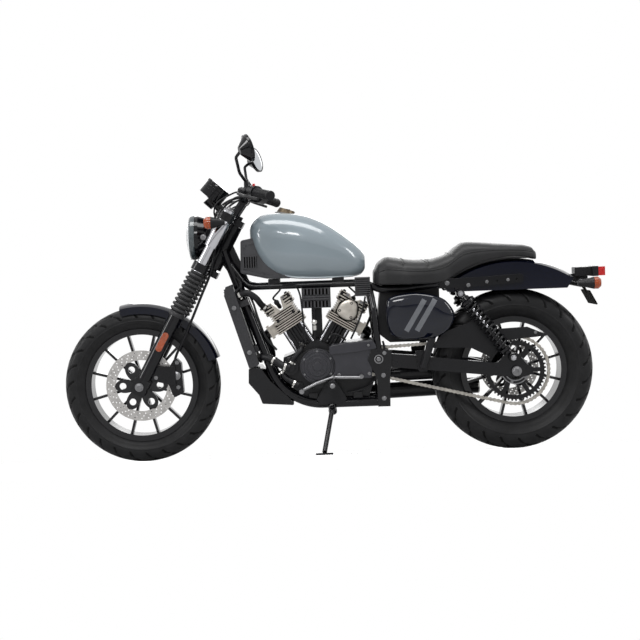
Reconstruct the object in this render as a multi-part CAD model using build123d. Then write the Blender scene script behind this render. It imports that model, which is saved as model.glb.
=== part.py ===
"""Cruiser motorcycle standing on its side stand. Millimetres and degrees.

Every piece is drawn upright in the bike's own frame: +X forward, +Y to the rider's left, +Z up,
origin on the ground under the rear axle. parked() then leans the whole machine onto its stand.
"""

import os
from math import asin, atan2, cos, hypot, pi, radians, sin, sqrt, tan

from build123d import *

os.makedirs("parts", exist_ok=True)

# ------------------------------------------------------------------ driving dimensions
WHEELBASE = 1425
LEAN = 8  # lean to the left on the side stand
PARK_SHIFT = (-681.5, -136.5, 0.95)  # puts the leaning machine's footprint on the origin

# wheels: outside radius, section width, bead seat radius, rim width
REAR_R, REAR_W, REAR_BEAD_R, REAR_RIM_W = 310, 150, 190.5, 96
FRONT_R, FRONT_W, FRONT_BEAD_R, FRONT_RIM_W = 299, 120, 203, 78
CROWN_FLAT = 0.62  # share of the section width under the crown's shoulders
RIM_LIP, LIP_T, RIM_T = 13, 6, 9
SPOKES, SPOKE_T = 12, 10
FRONT_HUB_R, FRONT_HUB_W = 40, 100
REAR_HUB_R, REAR_HUB_W = 48, 120
AXLE_R = 10
AXLE_PLAY = 0.3

# brakes
FRONT_DISC_R, FRONT_DISC_INNER_R, FRONT_DISC_Y = 135, 98, 62
REAR_DISC_R, REAR_DISC_INNER_R, REAR_DISC_Y = 115, 84, -78
DISC_T = 5
DISC_ARMS = 6

# chain drive
CHAIN_Y, CHAIN_W, CHAIN_H = 90, 14, 13
SPROCKET_PITCH_R, DRIVE_PITCH_R = 128, 38
DRIVE_X, DRIVE_Z = 617, 371
SPROCKET_TEETH, SPROCKET_T = 50, 7
CHAIN_PLAY = 3

# steering head and fork
RAKE = 29
STEM_OFFSET = 40  # stem axis behind the fork line
FORK_Y = 105
TUBE_R, LEG_R = 20.5, 25
LEG_BOTTOM_T, LEG_TOP_T = -32, 300  # t runs up the fork line from the front axle
GAITER_TOP_T, GAITER_R, GAITER_RIBS = 487, 35, 10
LOWER_CLAMP_T, UPPER_CLAMP_T, CLAMP_H = 490, 706, 32
FORK_TOP_T = 748
STEM_R, HEAD_TUBE_R, STEM_PLAY = 15, 29, 0.5
CLAMP_BOSS_R = 32

# frame
TUBE_FRAME_R = 17
CRADLE_Y, CRADLE_Z = 90, 209
CRADLE_CORNER_X, CRADLE_BEND = 876, 205
NECK = (1093, 18, 800)
RAIL_R = 13
PLATE_Y, PLATE_T = 124, 12
PIVOT_X, PIVOT_Z = 519, 374
STRUT_Y, STRUT_T = 97, 16  # the rear fender's sides stand against the struts
RACK_HOLES, RACK_HOLE_R = [(62, 652), (-12, 657)], 4.2

# swingarm and shocks
ARM_Y, ARM_T = 102, 20
SHOCK_Y = 138
SHOCK_TOP, SHOCK_BOTTOM = (204, 610), (12, 362)
SPRING_R, SPRING_WIRE_R, SPRING_TURNS = 25, 4.5, 11

# engine
CRANK_X, CRANK_Z = 750, 353
V_HALF = 31
CASE_Y = 75
BARREL_FOOT, BARREL_TOP, HEAD_TOP = 88, 176, 297  # measured up the cylinder from the crank
BARREL_L, BARREL_W = 88, 110
HEAD_L, HEAD_W, NOTCH_W = 92, 118, 44
FIN_T, FIN_PITCH, FIN_W = 4, 8.5, 132
PORT_REACH, PORT_Z, PORT_H = 88, 202, 42
STUD_R = 4.5
EXHAUST_R, MUFFLER_R, MUFFLER_CONE, TAIL_BORE_R = 18, 32, 66, 20
LOWER_MUFFLER_L, UPPER_MUFFLER_L = 464, 300
HOSE_R = 5

# bodywork
FENDER_T = 4
FRONT_FENDER_R, FRONT_FENDER_Y, FRONT_FENDER_DROP = 316, 69, 42
REAR_FENDER_R = 425
SEAT_Z = 650
HEADLIGHT = (1204, 0, 856)
HEADLIGHT_R = 87

# handlebar, measured on the left side
BAR_R, GRIP_R, GRIP_L = 11, 17, 120
BAR_END = (897, 385, 992)
BAR_BEND = (1022, 115, 1032)
BAR_MIDDLE = (1008, 60, 990)

# side stand
STAND_PIVOT = (700, 124, 192)
STAND_FOOT_X, STAND_FOOT_Y = 735, 250
STAND_R = 9


# ------------------------------------------------------------------ helpers
def rod(a, b, radius, top_radius=None):
    """A round bar from point a to point b, tapering to top_radius where that is given."""
    a, b = Vector(*a), Vector(*b)
    axis = b - a
    if top_radius is None:
        shape = Cylinder(radius, axis.length, align=(Align.CENTER, Align.CENTER, Align.MIN))
    else:
        shape = Cone(radius, top_radius, axis.length, align=(Align.CENTER, Align.CENTER, Align.MIN))
    return Plane(origin=a, z_dir=axis.normalized()).location * shape


def across(x, z, radius, y0, y1):
    """A round bar that lies across the bike."""
    return rod((x, y0, z), (x, y1, z), radius)


def pipe(points, bends, radius):
    """A bent round bar through points, with one bend radius for each inner point."""
    path = FilletPolyline(*points, radius=bends)
    section = Plane(origin=path @ 0, z_dir=path % 0) * Circle(radius)
    return sweep(section, path=path)


def easy_bends(points, share=0.45):
    """The largest bend radius for each inner point of a route, from its two runs and its turn."""
    bends = []
    for before, here, after in zip(points, points[1:], points[2:]):
        run_in, run_out = Vector(*here) - Vector(*before), Vector(*after) - Vector(*here)
        turn = radians(run_in.get_angle(run_out))
        bends.append(share * min(run_in.length, run_out.length) / tan(turn / 2))
    return bends


def slab(points, y0, y1, corner=0):
    """A side-view outline of (x, z) points, filled from y0 to y1."""
    face = make_face(Polyline(*points, close=True))
    if corner:
        face = fillet(face.vertices(), corner)
    plane = Plane(origin=(0, y1, 0), x_dir=(1, 0, 0), z_dir=(0, -1, 0))
    return extrude(plane * face, amount=y1 - y0)


def both(shape):
    """The shape and its mirror image on the other side of the bike."""
    return [shape, mirror(shape, about=Plane.XZ)]


def turned(section_faces, x, z, start=0, arc=360):
    """Turns a (y, radius) section about a cross axis through (x, z). Angles run from straight up, forward."""
    shape = revolve(Plane.YZ * section_faces, axis=Axis.Y, revolution_arc=arc)
    return Location((x, 0, z)) * (Rot(Y=start) * shape)


def fork_point(t, y=0, ahead=0):
    """The point t up the fork line from the front axle, and ahead of that line."""
    s, c = sin(radians(RAKE)), cos(radians(RAKE))
    return (WHEELBASE - t * s + ahead * c, y, FRONT_R + t * c + ahead * s)


def fork_plane(t):
    """Local x is ahead of the fork line, local y is the bike's left and local z runs up the fork."""
    s, c = sin(radians(RAKE)), cos(radians(RAKE))
    return Plane(origin=fork_point(t), x_dir=(c, 0, s), z_dir=(-s, 0, c)).location


def cylinder_plane(side):
    """Local z runs up a cylinder from the crank: side is 1 for the front one and -1 for the rear one."""
    s, c = side * sin(radians(V_HALF)), cos(radians(V_HALF))
    return Plane(origin=(CRANK_X, 0, CRANK_Z), x_dir=(c, 0, -s), z_dir=(s, 0, c)).location


def block(length, width, height, at=(0, 0, 0)):
    """A box that stands on the point at."""
    return Location(at) * Box(length, width, height, align=(Align.CENTER, Align.CENTER, Align.MIN))


def belt(x0, z0, r0, x1, z1, r1):
    """The outline round two circles, as a face: circle 0 is the rear one."""
    gap = hypot(x1 - x0, z1 - z0)
    tilt = atan2(z1 - z0, x1 - x0)
    spread = asin((r0 - r1) / gap)
    up, down = tilt + pi / 2 - spread, tilt - pi / 2 + spread

    def on(x, z, r, angle):
        return (x + r * cos(angle), z + r * sin(angle))

    edges = [
        Line(on(x0, z0, r0, up), on(x1, z1, r1, up)),
        ThreePointArc(on(x1, z1, r1, up), on(x1, z1, r1, tilt), on(x1, z1, r1, down)),
        Line(on(x1, z1, r1, down), on(x0, z0, r0, down)),
        ThreePointArc(on(x0, z0, r0, down), on(x0, z0, r0, tilt + pi), on(x0, z0, r0, up)),
    ]
    return make_face(edges)


def side_loft(sections, ruled=False):
    """A rounded body through sections along the bike: x, low z, high z, width, corner radius."""
    faces = []
    for x, low, high, width, corner in sections:
        plane = Plane(origin=(x, 0, (low + high) / 2), x_dir=(0, 1, 0), z_dir=(1, 0, 0))
        faces.append(plane * RectangleRounded(width, high - low, corner))
    return loft(faces, ruled=ruled)


nodes = {}


# ------------------------------------------------------------------ wheels
def tyre(outside_r, width, bead_r, rim_width):
    """A tyre's ring, from the bead seat out to the crown."""
    half, seat = width / 2, rim_width / 2
    lip_r = bead_r + RIM_LIP
    shoulder_y = half * CROWN_FLAT + 12
    shoulder_r = outside_r - (outside_r - bead_r) * 0.22
    wall = (half, lip_r + (shoulder_r - lip_r) * 0.6)
    right = [(seat, bead_r), (seat, lip_r)]
    edges = [
        Line((-seat, bead_r), (seat, bead_r)),
        Line(*right),
        ThreePointArc(right[1], wall, (shoulder_y + 8, shoulder_r)),
        ThreePointArc((shoulder_y + 8, shoulder_r), (0, outside_r), (-shoulder_y - 8, shoulder_r)),
        ThreePointArc((-shoulder_y - 8, shoulder_r), (-wall[0], wall[1]), (-seat, lip_r)),
        Line((-seat, lip_r), (-seat, bead_r)),
    ]
    return make_face(edges)


def rim(bead_r, rim_width, hub_r, hub_width):
    """A cast rim with its lips, straight spokes and a bored hub, about the Y axis."""
    seat = rim_width / 2
    out, top, inner = seat + LIP_T, bead_r + RIM_LIP, bead_r - RIM_T
    hoop = Polyline(
        (-out, inner), (out, inner), (out, top), (seat, top), (seat, bead_r),
        (-seat, bead_r), (-seat, top), (-out, top), close=True,
    )
    ring = revolve(Plane.YZ * make_face(hoop), axis=Axis.Y)
    hub = Rot(X=90) * Cylinder(hub_r, hub_width)
    wheel = ring + hub
    for i in range(SPOKES):
        spoke = block(SPOKE_T, hub_width * 0.34, inner - hub_r + 6, (0, 0, hub_r - 3))
        wheel += Rot(Y=360 / SPOKES * (i + 0.5)) * spoke
    return wheel - Rot(X=90) * Cylinder(AXLE_R + AXLE_PLAY, hub_width * 2)


def disc(radius, inner_r, hub_r, y):
    """A brake disc on its armed carrier."""
    ring = Rot(X=90) * (Cylinder(radius, DISC_T) - Cylinder(inner_r, DISC_T * 2))
    boss = Rot(X=90) * Cylinder(hub_r + 8, DISC_T)
    shape = ring + boss
    for i in range(DISC_ARMS):
        arm = Location((0, 0, (hub_r + inner_r) / 2)) * Box(22, DISC_T, inner_r - hub_r + 8)
        shape += Rot(Y=360 / DISC_ARMS * i) * arm
    return Location((0, y, 0)) * shape


front_axle = Location((WHEELBASE, 0, FRONT_R))
rear_axle = Location((0, 0, REAR_R))

nodes["front_tyre"] = front_axle * revolve(
    Plane.YZ * tyre(FRONT_R, FRONT_W, FRONT_BEAD_R, FRONT_RIM_W), axis=Axis.Y
)
nodes["rear_tyre"] = rear_axle * revolve(
    Plane.YZ * tyre(REAR_R, REAR_W, REAR_BEAD_R, REAR_RIM_W), axis=Axis.Y
)
nodes["front_rim"] = front_axle * rim(FRONT_BEAD_R, FRONT_RIM_W, FRONT_HUB_R, FRONT_HUB_W)
nodes["rear_rim"] = rear_axle * rim(REAR_BEAD_R, REAR_RIM_W, REAR_HUB_R, REAR_HUB_W)

front_disc = disc(FRONT_DISC_R, FRONT_DISC_INNER_R, FRONT_HUB_R, FRONT_DISC_Y)
front_disc -= Rot(X=90) * Cylinder(FRONT_HUB_R - 12, 400)
front_disc += Location((0, (FRONT_HUB_W / 2 + FRONT_DISC_Y) / 2, 0)) * (
    Rot(X=90) * (Cylinder(FRONT_HUB_R - 2, FRONT_DISC_Y - FRONT_HUB_W / 2) - Cylinder(FRONT_HUB_R - 12, 400))
)
nodes["front_disc"] = front_axle * front_disc

rear_disc = disc(REAR_DISC_R, REAR_DISC_INNER_R, REAR_HUB_R, REAR_DISC_Y)
rear_disc -= Rot(X=90) * Cylinder(REAR_HUB_R - 16, 400)
rear_disc += Location((0, (-REAR_HUB_W / 2 + REAR_DISC_Y) / 2, 0)) * (
    Rot(X=90) * (Cylinder(REAR_HUB_R - 2, -REAR_DISC_Y - REAR_HUB_W / 2) - Cylinder(REAR_HUB_R - 16, 400))
)
nodes["rear_disc"] = rear_axle * rear_disc


def sprocket():
    """The driven sprocket: a toothed ring on arms, with its carrier against the hub."""
    tip_r = SPROCKET_PITCH_R - CHAIN_H / 2 - CHAIN_PLAY
    root_r = tip_r - 7
    step = 2 * pi / SPROCKET_TEETH
    outline = []
    for i in range(SPROCKET_TEETH):
        for share, r in ((-0.3, root_r), (-0.12, tip_r), (0.12, tip_r), (0.3, root_r)):
            a = step * (i + share)
            outline.append((r * sin(a), r * cos(a)))
    plate = slab(outline, -SPROCKET_T / 2, SPROCKET_T / 2)
    plate -= Rot(X=90) * Cylinder(root_r - 16, 50)
    plate += Rot(X=90) * Cylinder(REAR_HUB_R + 6, SPROCKET_T)
    for i in range(DISC_ARMS):
        arm = Location((0, 0, (REAR_HUB_R + root_r) / 2)) * Box(16, SPROCKET_T, root_r - REAR_HUB_R)
        plate += Rot(Y=360 / DISC_ARMS * (i + 0.5)) * arm
    depth = CHAIN_Y - REAR_HUB_W / 2
    carrier = Rot(X=90) * Cylinder(REAR_HUB_R - 4, depth)
    plate += Location((0, -depth / 2, 0)) * carrier
    return plate - Rot(X=90) * Cylinder(REAR_HUB_R - 16, 400)


nodes["rear_sprocket"] = Location((0, CHAIN_Y, REAR_R)) * sprocket()

half_h = CHAIN_H / 2
chain_face = belt(0, REAR_R, SPROCKET_PITCH_R + half_h, DRIVE_X, DRIVE_Z, DRIVE_PITCH_R + half_h) - belt(
    0, REAR_R, SPROCKET_PITCH_R - half_h, DRIVE_X, DRIVE_Z, DRIVE_PITCH_R - half_h
)
nodes["chain"] = extrude(
    Plane(origin=(0, CHAIN_Y + CHAIN_W / 2, 0), x_dir=(1, 0, 0), z_dir=(0, -1, 0)) * chain_face,
    amount=CHAIN_W,
)

# ------------------------------------------------------------------ fork and steering head
tubes = [rod(fork_point(LEG_TOP_T, y), fork_point(FORK_TOP_T, y), TUBE_R) for y in (FORK_Y, -FORK_Y)]
nodes["fork_tubes"] = tubes

legs = []
for y in (FORK_Y, -FORK_Y):
    leg = rod(fork_point(LEG_BOTTOM_T, y), fork_point(LEG_TOP_T, y), LEG_R)
    leg += fork_plane(LEG_BOTTOM_T) * block(LEG_R * 2.3, LEG_R * 1.7, -2 * LEG_BOTTOM_T, (0, y, 0))
    legs.append(leg)
axle_reach = FORK_Y + LEG_R + 6
fork_legs = legs[0] + legs[1] + across(WHEELBASE, FRONT_R, AXLE_R, -axle_reach, axle_reach)
for side in (1, -1):
    collar_in = FRONT_HUB_W / 2 + 1 if side < 0 else FRONT_DISC_Y + DISC_T
    fork_legs += across(WHEELBASE, FRONT_R, AXLE_R + 7, side * collar_in, side * (FORK_Y - LEG_R * 0.6))
nodes["fork_legs"] = fork_legs


def gaiter(y):
    """A ribbed rubber boot over one fork tube."""
    pitch = (GAITER_TOP_T - LEG_TOP_T - 24) / GAITER_RIBS
    outline = [(TUBE_R + 0.2, 0), (GAITER_R - 3, 0), (GAITER_R - 3, 18)]
    for i in range(GAITER_RIBS):
        low = 18 + pitch * i
        outline += [(GAITER_R - 9, low + 0.15 * pitch), (GAITER_R, low + 0.5 * pitch), (GAITER_R - 9, low + 0.85 * pitch)]
    outline += [(TUBE_R + 5, GAITER_TOP_T - LEG_TOP_T), (TUBE_R + 0.2, GAITER_TOP_T - LEG_TOP_T)]
    boot = revolve(Plane.XZ * make_face(Polyline(*outline, close=True)), axis=Axis.Z)
    return fork_plane(LEG_TOP_T) * (Location((0, y, 0)) * boot)


nodes["fork_gaiters"] = [gaiter(FORK_Y), gaiter(-FORK_Y)]


def clamp(height, rear):
    """A fork clamp across both tubes and the stem, standing on local z 0."""
    plate = block(CLAMP_BOSS_R * 1.5, FORK_Y * 2, height * 0.8)
    plate += block(rear, CLAMP_BOSS_R * 2.4, height * 0.8, (-rear / 2, 0, 0))
    for y in (FORK_Y, -FORK_Y):
        plate += Location((0, y, 0)) * Cylinder(
            CLAMP_BOSS_R, height, align=(Align.CENTER, Align.CENTER, Align.MIN)
        )
        plate -= Location((0, y, 0)) * Cylinder(TUBE_R, height * 3)
    return plate


clamps = fork_plane(LOWER_CLAMP_T) * clamp(CLAMP_H, STEM_OFFSET + HEAD_TUBE_R)
clamps += fork_plane(UPPER_CLAMP_T) * clamp(CLAMP_H, STEM_OFFSET + HEAD_TUBE_R)
clamps += rod(
    fork_point(LOWER_CLAMP_T + 4, 0, -STEM_OFFSET), fork_point(UPPER_CLAMP_T + CLAMP_H + 8, 0, -STEM_OFFSET), STEM_R
)
# risers that hold the handlebar
for y in (45, -45):
    clamps += rod(fork_point(UPPER_CLAMP_T + CLAMP_H * 0.5, y, -20), (BAR_MIDDLE[0], y, BAR_MIDDLE[2]), 15)
    clamps += rod((BAR_MIDDLE[0], y - 16, BAR_MIDDLE[2]), (BAR_MIDDLE[0], y + 16, BAR_MIDDLE[2]), BAR_R + 8)

# ------------------------------------------------------------------ handlebar and its controls
def opposite(point):
    return (point[0], -point[1], point[2])


bar_points = [opposite(BAR_END), opposite(BAR_BEND), opposite(BAR_MIDDLE), BAR_MIDDLE, BAR_BEND, BAR_END]
handlebar = pipe(bar_points, [60, 30, 30, 60], BAR_R)
nodes["handlebar"] = handlebar
nodes["triple_clamps"] = clamps - handlebar

outboard = (Vector(*BAR_END) - Vector(*BAR_BEND)).normalized()
forward = outboard.cross(Vector(0, 0, 1)).normalized()


def on_bar(inset, ahead=0, rise=0):
    """A point measured inboard from the left bar end, ahead of the bar and above it."""
    p = Vector(*BAR_END) - outboard * inset + forward * ahead + Vector(0, 0, rise)
    return (p.X, p.Y, p.Z)


grip = rod(on_bar(-6), on_bar(GRIP_L), GRIP_R) - rod(on_bar(0), on_bar(400), BAR_R)
nodes["grips"] = both(grip)

housing = rod(on_bar(GRIP_L + 2), on_bar(GRIP_L + 52), 25)
housing += rod(on_bar(GRIP_L + 60, 6), on_bar(GRIP_L + 86, 6), 19)
housing += rod(on_bar(GRIP_L + 50), on_bar(GRIP_L + 62), 17)
housing += rod(on_bar(GRIP_L + 73, 4), on_bar(GRIP_L + 73, 36, -4), 10)
housing += rod(on_bar(GRIP_L + 73, 12, 8), on_bar(GRIP_L + 73, 12, 34), 9)
housings = both(housing - handlebar)

lever = pipe(
    [on_bar(GRIP_L + 73, 42, -5), on_bar(GRIP_L + 50, 56, -6), on_bar(GRIP_L - 40, 62, -8), on_bar(-6, 50, -12)],
    [30, 80],
    5.5,
)
levers = both(lever + rod(on_bar(GRIP_L + 73, 36, -14), on_bar(GRIP_L + 73, 36, 6), 9))

nodes["hand_controls"] = housings + [levers[i] - housings[i] for i in range(2)]

# mirrors: a round head that faces back, up and inward, on a bent stem
MIRROR_CENTRE, MIRROR_R = (968, 330, 1168), 50
mirror_normal = Vector(-0.913, -0.326, 0.259).normalized()


def behind_mirror(depth):
    p = Vector(*MIRROR_CENTRE) - mirror_normal * depth
    return (p.X, p.Y, p.Z)


mirror_head = rod(behind_mirror(0), behind_mirror(10), MIRROR_R)
mirror_head += rod(behind_mirror(10), behind_mirror(38), MIRROR_R - 3, 15)
stem_base = on_bar(GRIP_L + 73, 12, 34)
stem = pipe([stem_base, (1010, 250, 1085), (1018, 305, 1138), behind_mirror(30)], [60, 25], 6)
nodes["mirrors"] = both(mirror_head + stem)

# ------------------------------------------------------------------ front lamps, gauge, fender, caliper
LAMP_X, LAMP_Y, LAMP_Z = HEADLIGHT
bucket = Polyline(
    (0, -66), (28, -66), (58, -56), (76, -40), (HEADLIGHT_R - 3, -16),
    (HEADLIGHT_R - 4, -3), (0, -3), close=True,
)
to_front = Plane(origin=HEADLIGHT, x_dir=(0, 1, 0), z_dir=(1, 0, 0)).location
headlight = to_front * revolve(Plane.XZ * make_face(bucket), axis=Axis.Z)
for y in (FORK_Y, -FORK_Y):
    ear = rod(fork_point(596, y), fork_point(692, y), TUBE_R + 6)
    inward = -1 if y > 0 else 1
    ear += fork_plane(610) * block(44, 8, 60, (20, y + inward * 13, 0))
    headlight += ear
    headlight += rod((LAMP_X - 40, y * 0.6, LAMP_Z), (LAMP_X - 40, y * 0.93, LAMP_Z), 12)
nodes["headlight"] = headlight
rim_outline = [
    (HEADLIGHT_R - 14, -3), (HEADLIGHT_R - 1, -3), (HEADLIGHT_R, 2), (HEADLIGHT_R - 2, 12), (HEADLIGHT_R - 8, 18),
    (HEADLIGHT_R - 14, 18),
]
nodes["headlight_rim"] = to_front * revolve(
    Plane.XZ * make_face(Polyline(*rim_outline, close=True)), axis=Axis.Z
)
lens_outline = [(0, -3), (HEADLIGHT_R - 14, -3), (HEADLIGHT_R - 14, 16), (62, 22), (44, 27), (22, 30), (0, 31)]
nodes["headlight_lens"] = to_front * revolve(
    Plane.XZ * make_face(Polyline(*lens_outline, close=True)), axis=Axis.Z
)

GAUGE_FACE, GAUGE_BACK, GAUGE_R = (1104, 0, 1048), (1142, 0, 1006), 49
gauge = rod(GAUGE_BACK, GAUGE_FACE, GAUGE_R)
gauge += rod(GAUGE_BACK, (1120, 0, 975), 30, 22)
gauge += rod((1120, 0, 985), fork_point(UPPER_CLAMP_T + CLAMP_H * 0.6, 0, 12), 16)
nodes["instrument"] = gauge - clamps

SIGNAL_X, SIGNAL_Y, SIGNAL_Z, SIGNAL_R = 1128, 178, 907, 23
signal = rod((SIGNAL_X - 52, SIGNAL_Y, SIGNAL_Z), (SIGNAL_X, SIGNAL_Y, SIGNAL_Z), 9, SIGNAL_R)
signal += rod((SIGNAL_X - 34, SIGNAL_Y, SIGNAL_Z), (SIGNAL_X - 34, FORK_Y, SIGNAL_Z), 8)
signal_lens = rod((SIGNAL_X, SIGNAL_Y, SIGNAL_Z), (SIGNAL_X + 16, SIGNAL_Y, SIGNAL_Z), SIGNAL_R)
signal_lens += rod((SIGNAL_X + 16, SIGNAL_Y, SIGNAL_Z), (SIGNAL_X + 26, SIGNAL_Y, SIGNAL_Z), SIGNAL_R, SIGNAL_R - 8)
nodes["front_signals"] = [s - headlight - tubes[i] for i, s in enumerate(both(signal))]

REFLECTOR_T, REFLECTOR_L, REFLECTOR_W = 192, 78, 24
reflector_plate = RectangleRounded(REFLECTOR_W, REFLECTOR_L, REFLECTOR_W / 2 - 1)
reflector = extrude(
    Plane(origin=(0, LEG_R + FORK_Y - 2, REFLECTOR_T - LEG_BOTTOM_T), x_dir=(1, 0, 0), z_dir=(0, 1, 0)) * reflector_plate,
    amount=8,
)
reflector = fork_plane(LEG_BOTTOM_T) * reflector
reflectors = [side - leg for side, leg in zip(both(reflector), legs)]
nodes["front_amber_lenses"] = both(signal_lens) + reflectors


def fender_shell(radius, half, drop, start, arc, x, z):
    """A U-section mudguard, swept about a wheel's axle."""
    inner_r, inner_half, rise = radius - FENDER_T, half - FENDER_T, 14
    side_r = radius - rise
    outer = [
        Line((half, radius - drop), (half, side_r)),
        ThreePointArc((half, side_r), (0, radius), (-half, side_r)),
        Line((-half, side_r), (-half, radius - drop)),
        Line((-half, radius - drop), (-inner_half, radius - drop)),
        Line((-inner_half, radius - drop), (-inner_half, side_r - FENDER_T)),
        ThreePointArc((-inner_half, side_r - FENDER_T), (0, inner_r), (inner_half, side_r - FENDER_T)),
        Line((inner_half, side_r - FENDER_T), (inner_half, radius - drop)),
        Line((inner_half, radius - drop), (half, radius - drop)),
    ]
    return turned(make_face(outer), x, z, start, arc)


FRONT_FENDER_START, FRONT_FENDER_ARC = -72, 86
front_fender = fender_shell(
    FRONT_FENDER_R, FRONT_FENDER_Y, FRONT_FENDER_DROP, FRONT_FENDER_START, FRONT_FENDER_ARC, WHEELBASE, FRONT_R
)
for y in (FORK_Y, -FORK_Y):
    inward = -1 if y > 0 else 1
    strap = fork_plane(262) * block(62, 10, 30, (0, y + inward * (FORK_Y - FRONT_FENDER_Y - 5), 0))
    front_fender += strap
nodes["front_fender"] = front_fender - fork_legs

caliper = slab([(1262, 268), (1300, 250), (1318, 300), (1312, 372), (1290, 405), (1268, 380)], FRONT_DISC_Y - 22, FRONT_DISC_Y + 26, 8)
caliper -= Location((WHEELBASE, FRONT_DISC_Y, FRONT_R)) * (Rot(X=90) * Cylinder(FRONT_DISC_R + 6, DISC_T + 8))
caliper += slab([(1304, 300), (1385, 320), (1358, 372), (1304, 372)], FORK_Y - 16, FORK_Y - 4, 4)
caliper += slab([(1290, 300), (1318, 300), (1318, 372), (1290, 372)], FRONT_DISC_Y + 8, FORK_Y - 4)
nodes["front_caliper"] = caliper - fork_legs

# brake hose: from the master cylinder on the right, round the steering head and down the left leg
hose_route = [
    opposite(on_bar(GRIP_L + 96, 26, -6)), (1062, -160, 1006), (1100, -106, 984), (1122, -56, 952), (1128, -4, 914),
    (1126, 40, 868), (1124, 58, 810), (1136, 60, 748), (1152, 62, 700), (1180, 70, 640), (1210, 80, 570),
    (1238, 86, 508), (1262, 92, 456), (1280, 90, 424), (1291, 80, 398),
]
brake_hose = pipe(hose_route, easy_bends(hose_route), HOSE_R)
nodes["brake_hose"] = brake_hose

# ------------------------------------------------------------------ frame
neck_left = NECK
corner_left = (CRADLE_CORNER_X, CRADLE_Y, CRADLE_Z)
head_tube = rod(
    fork_point(LOWER_CLAMP_T + CLAMP_H + 0.6, 0, -STEM_OFFSET),
    fork_point(UPPER_CLAMP_T - 1, 0, -STEM_OFFSET),
    HEAD_TUBE_R,
)
stem_bore = rod(
    fork_point(LOWER_CLAMP_T, 0, -STEM_OFFSET), fork_point(FORK_TOP_T, 0, -STEM_OFFSET), STEM_R + STEM_PLAY
)

RAIL_END_X = 300
rail = pipe(
    [(1085, 22, 772), (1005, 45, 661), (560, 70, 661), (505, 72, 634), (400, 74, 634), (RAIL_END_X - 20, STRUT_Y + RAIL_R + 1, 648)],
    [60, 60, 60, 80],
    RAIL_R,
)
strut = slab(
    [(290, 666), (290, 630), (127, 634), (-38, 645), (-38, 676), (127, 669)], STRUT_Y, STRUT_Y + STRUT_T, 8
)
strut += slab([(222, 640), (186, 640), (190, 600), (218, 600)], STRUT_Y, STRUT_Y + STRUT_T, 6)
strut += across(SHOCK_TOP[0], SHOCK_TOP[1], 8, STRUT_Y, SHOCK_Y + 16)
for x, z in RACK_HOLES:
    strut -= across(x, z, RACK_HOLE_R, STRUT_Y - 5, STRUT_Y + STRUT_T + 5)
gusset = slab([(1115, 770), (1062, 690), (1000, 645), (955, 650), (955, 672), (1000, 680), (1070, 850)], -8, 8)
CROSS_TUBE_X, RAIL_Y_THERE = 960, 47.5
cross_half = RAIL_Y_THERE - RAIL_R - 0.3  # ends just short of the rails
frame_neck = head_tube + gusset + across(CROSS_TUBE_X, 661, RAIL_R - 2, -cross_half, cross_half)
for x, y in ((905, 50), (660, 65)):
    rail += block(44, 20, 26, (x, y, 661))
nodes["fender_struts"] = both(strut)
nodes["frame_rails"] = both(rail)

CRADLE_END_X = 500
cradle = pipe(
    [neck_left, corner_left, (CRADLE_END_X, CRADLE_Y, CRADLE_Z)],
    [CRADLE_BEND],
    TUBE_FRAME_R,
)
plate_top = PIVOT_Z + 40
cradle += slab(
    [(468, plate_top - 8), (545, plate_top), (560, PIVOT_Z), (528, 300), (526, 196), (480, 196), (478, 300), (470, PIVOT_Z)],
    PLATE_Y, PLATE_Y + PLATE_T, 8,
)
cradle += block(46, PLATE_Y + PLATE_T - CRADLE_Y, 34, (503, (PLATE_Y + PLATE_T + CRADLE_Y) / 2, 194))
cradle += pipe([(518, PLATE_Y + 2, plate_top - 14), (530, 108, 560), (545, 76, 652)], [120], 13)
cradle += across(PIVOT_X, PIVOT_Z, 13, CASE_Y - 2, PLATE_Y + PLATE_T + 6)
cradle += block(34, 26, 34, (770, 78, CRADLE_Z + 6))
cradle += block(34, 26, 34, (600, 78, CRADLE_Z + 6))
cradle_sides = [side - head_tube for side in both(cradle)]

# ------------------------------------------------------------------ engine
case_outline = [
    (878, 388), (840, 402), (750, 455), (660, 402), (640, 436), (536, 446), (532, 300), (556, 230), (800, 236),
    (846, 268), (886, 330),
]
crankcase = slab(case_outline, -CASE_Y, CASE_Y)
crankcase += slab([(868, 385), (876, 330), (836, 274), (690, 262), (672, 300), (672, 400), (760, 420)], CASE_Y, 100, 10)
crankcase += slab([(868, 385), (876, 330), (836, 274), (600, 262), (580, 300), (580, 430), (760, 430)], -100, -CASE_Y, 10)
crankcase += across(852, 352, 30, CASE_Y, 112) + across(852, 352, 17, 110, 122)  # water pump
crankcase += across(820, 282, 14, CASE_Y, 112)
crankcase += across(DRIVE_X, DRIVE_Z, 14, CASE_Y - 5, CHAIN_Y + 5)
crankcase += across(
    DRIVE_X, DRIVE_Z, DRIVE_PITCH_R - CHAIN_H / 2 - CHAIN_PLAY, CHAIN_Y - SPROCKET_T / 2, CHAIN_Y + SPROCKET_T / 2
)
crankcase += block(40, 40, 120, (CRANK_X - 4, 0, 450))  # intake pipe up to the air box
nodes["crankcase"] = crankcase

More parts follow.
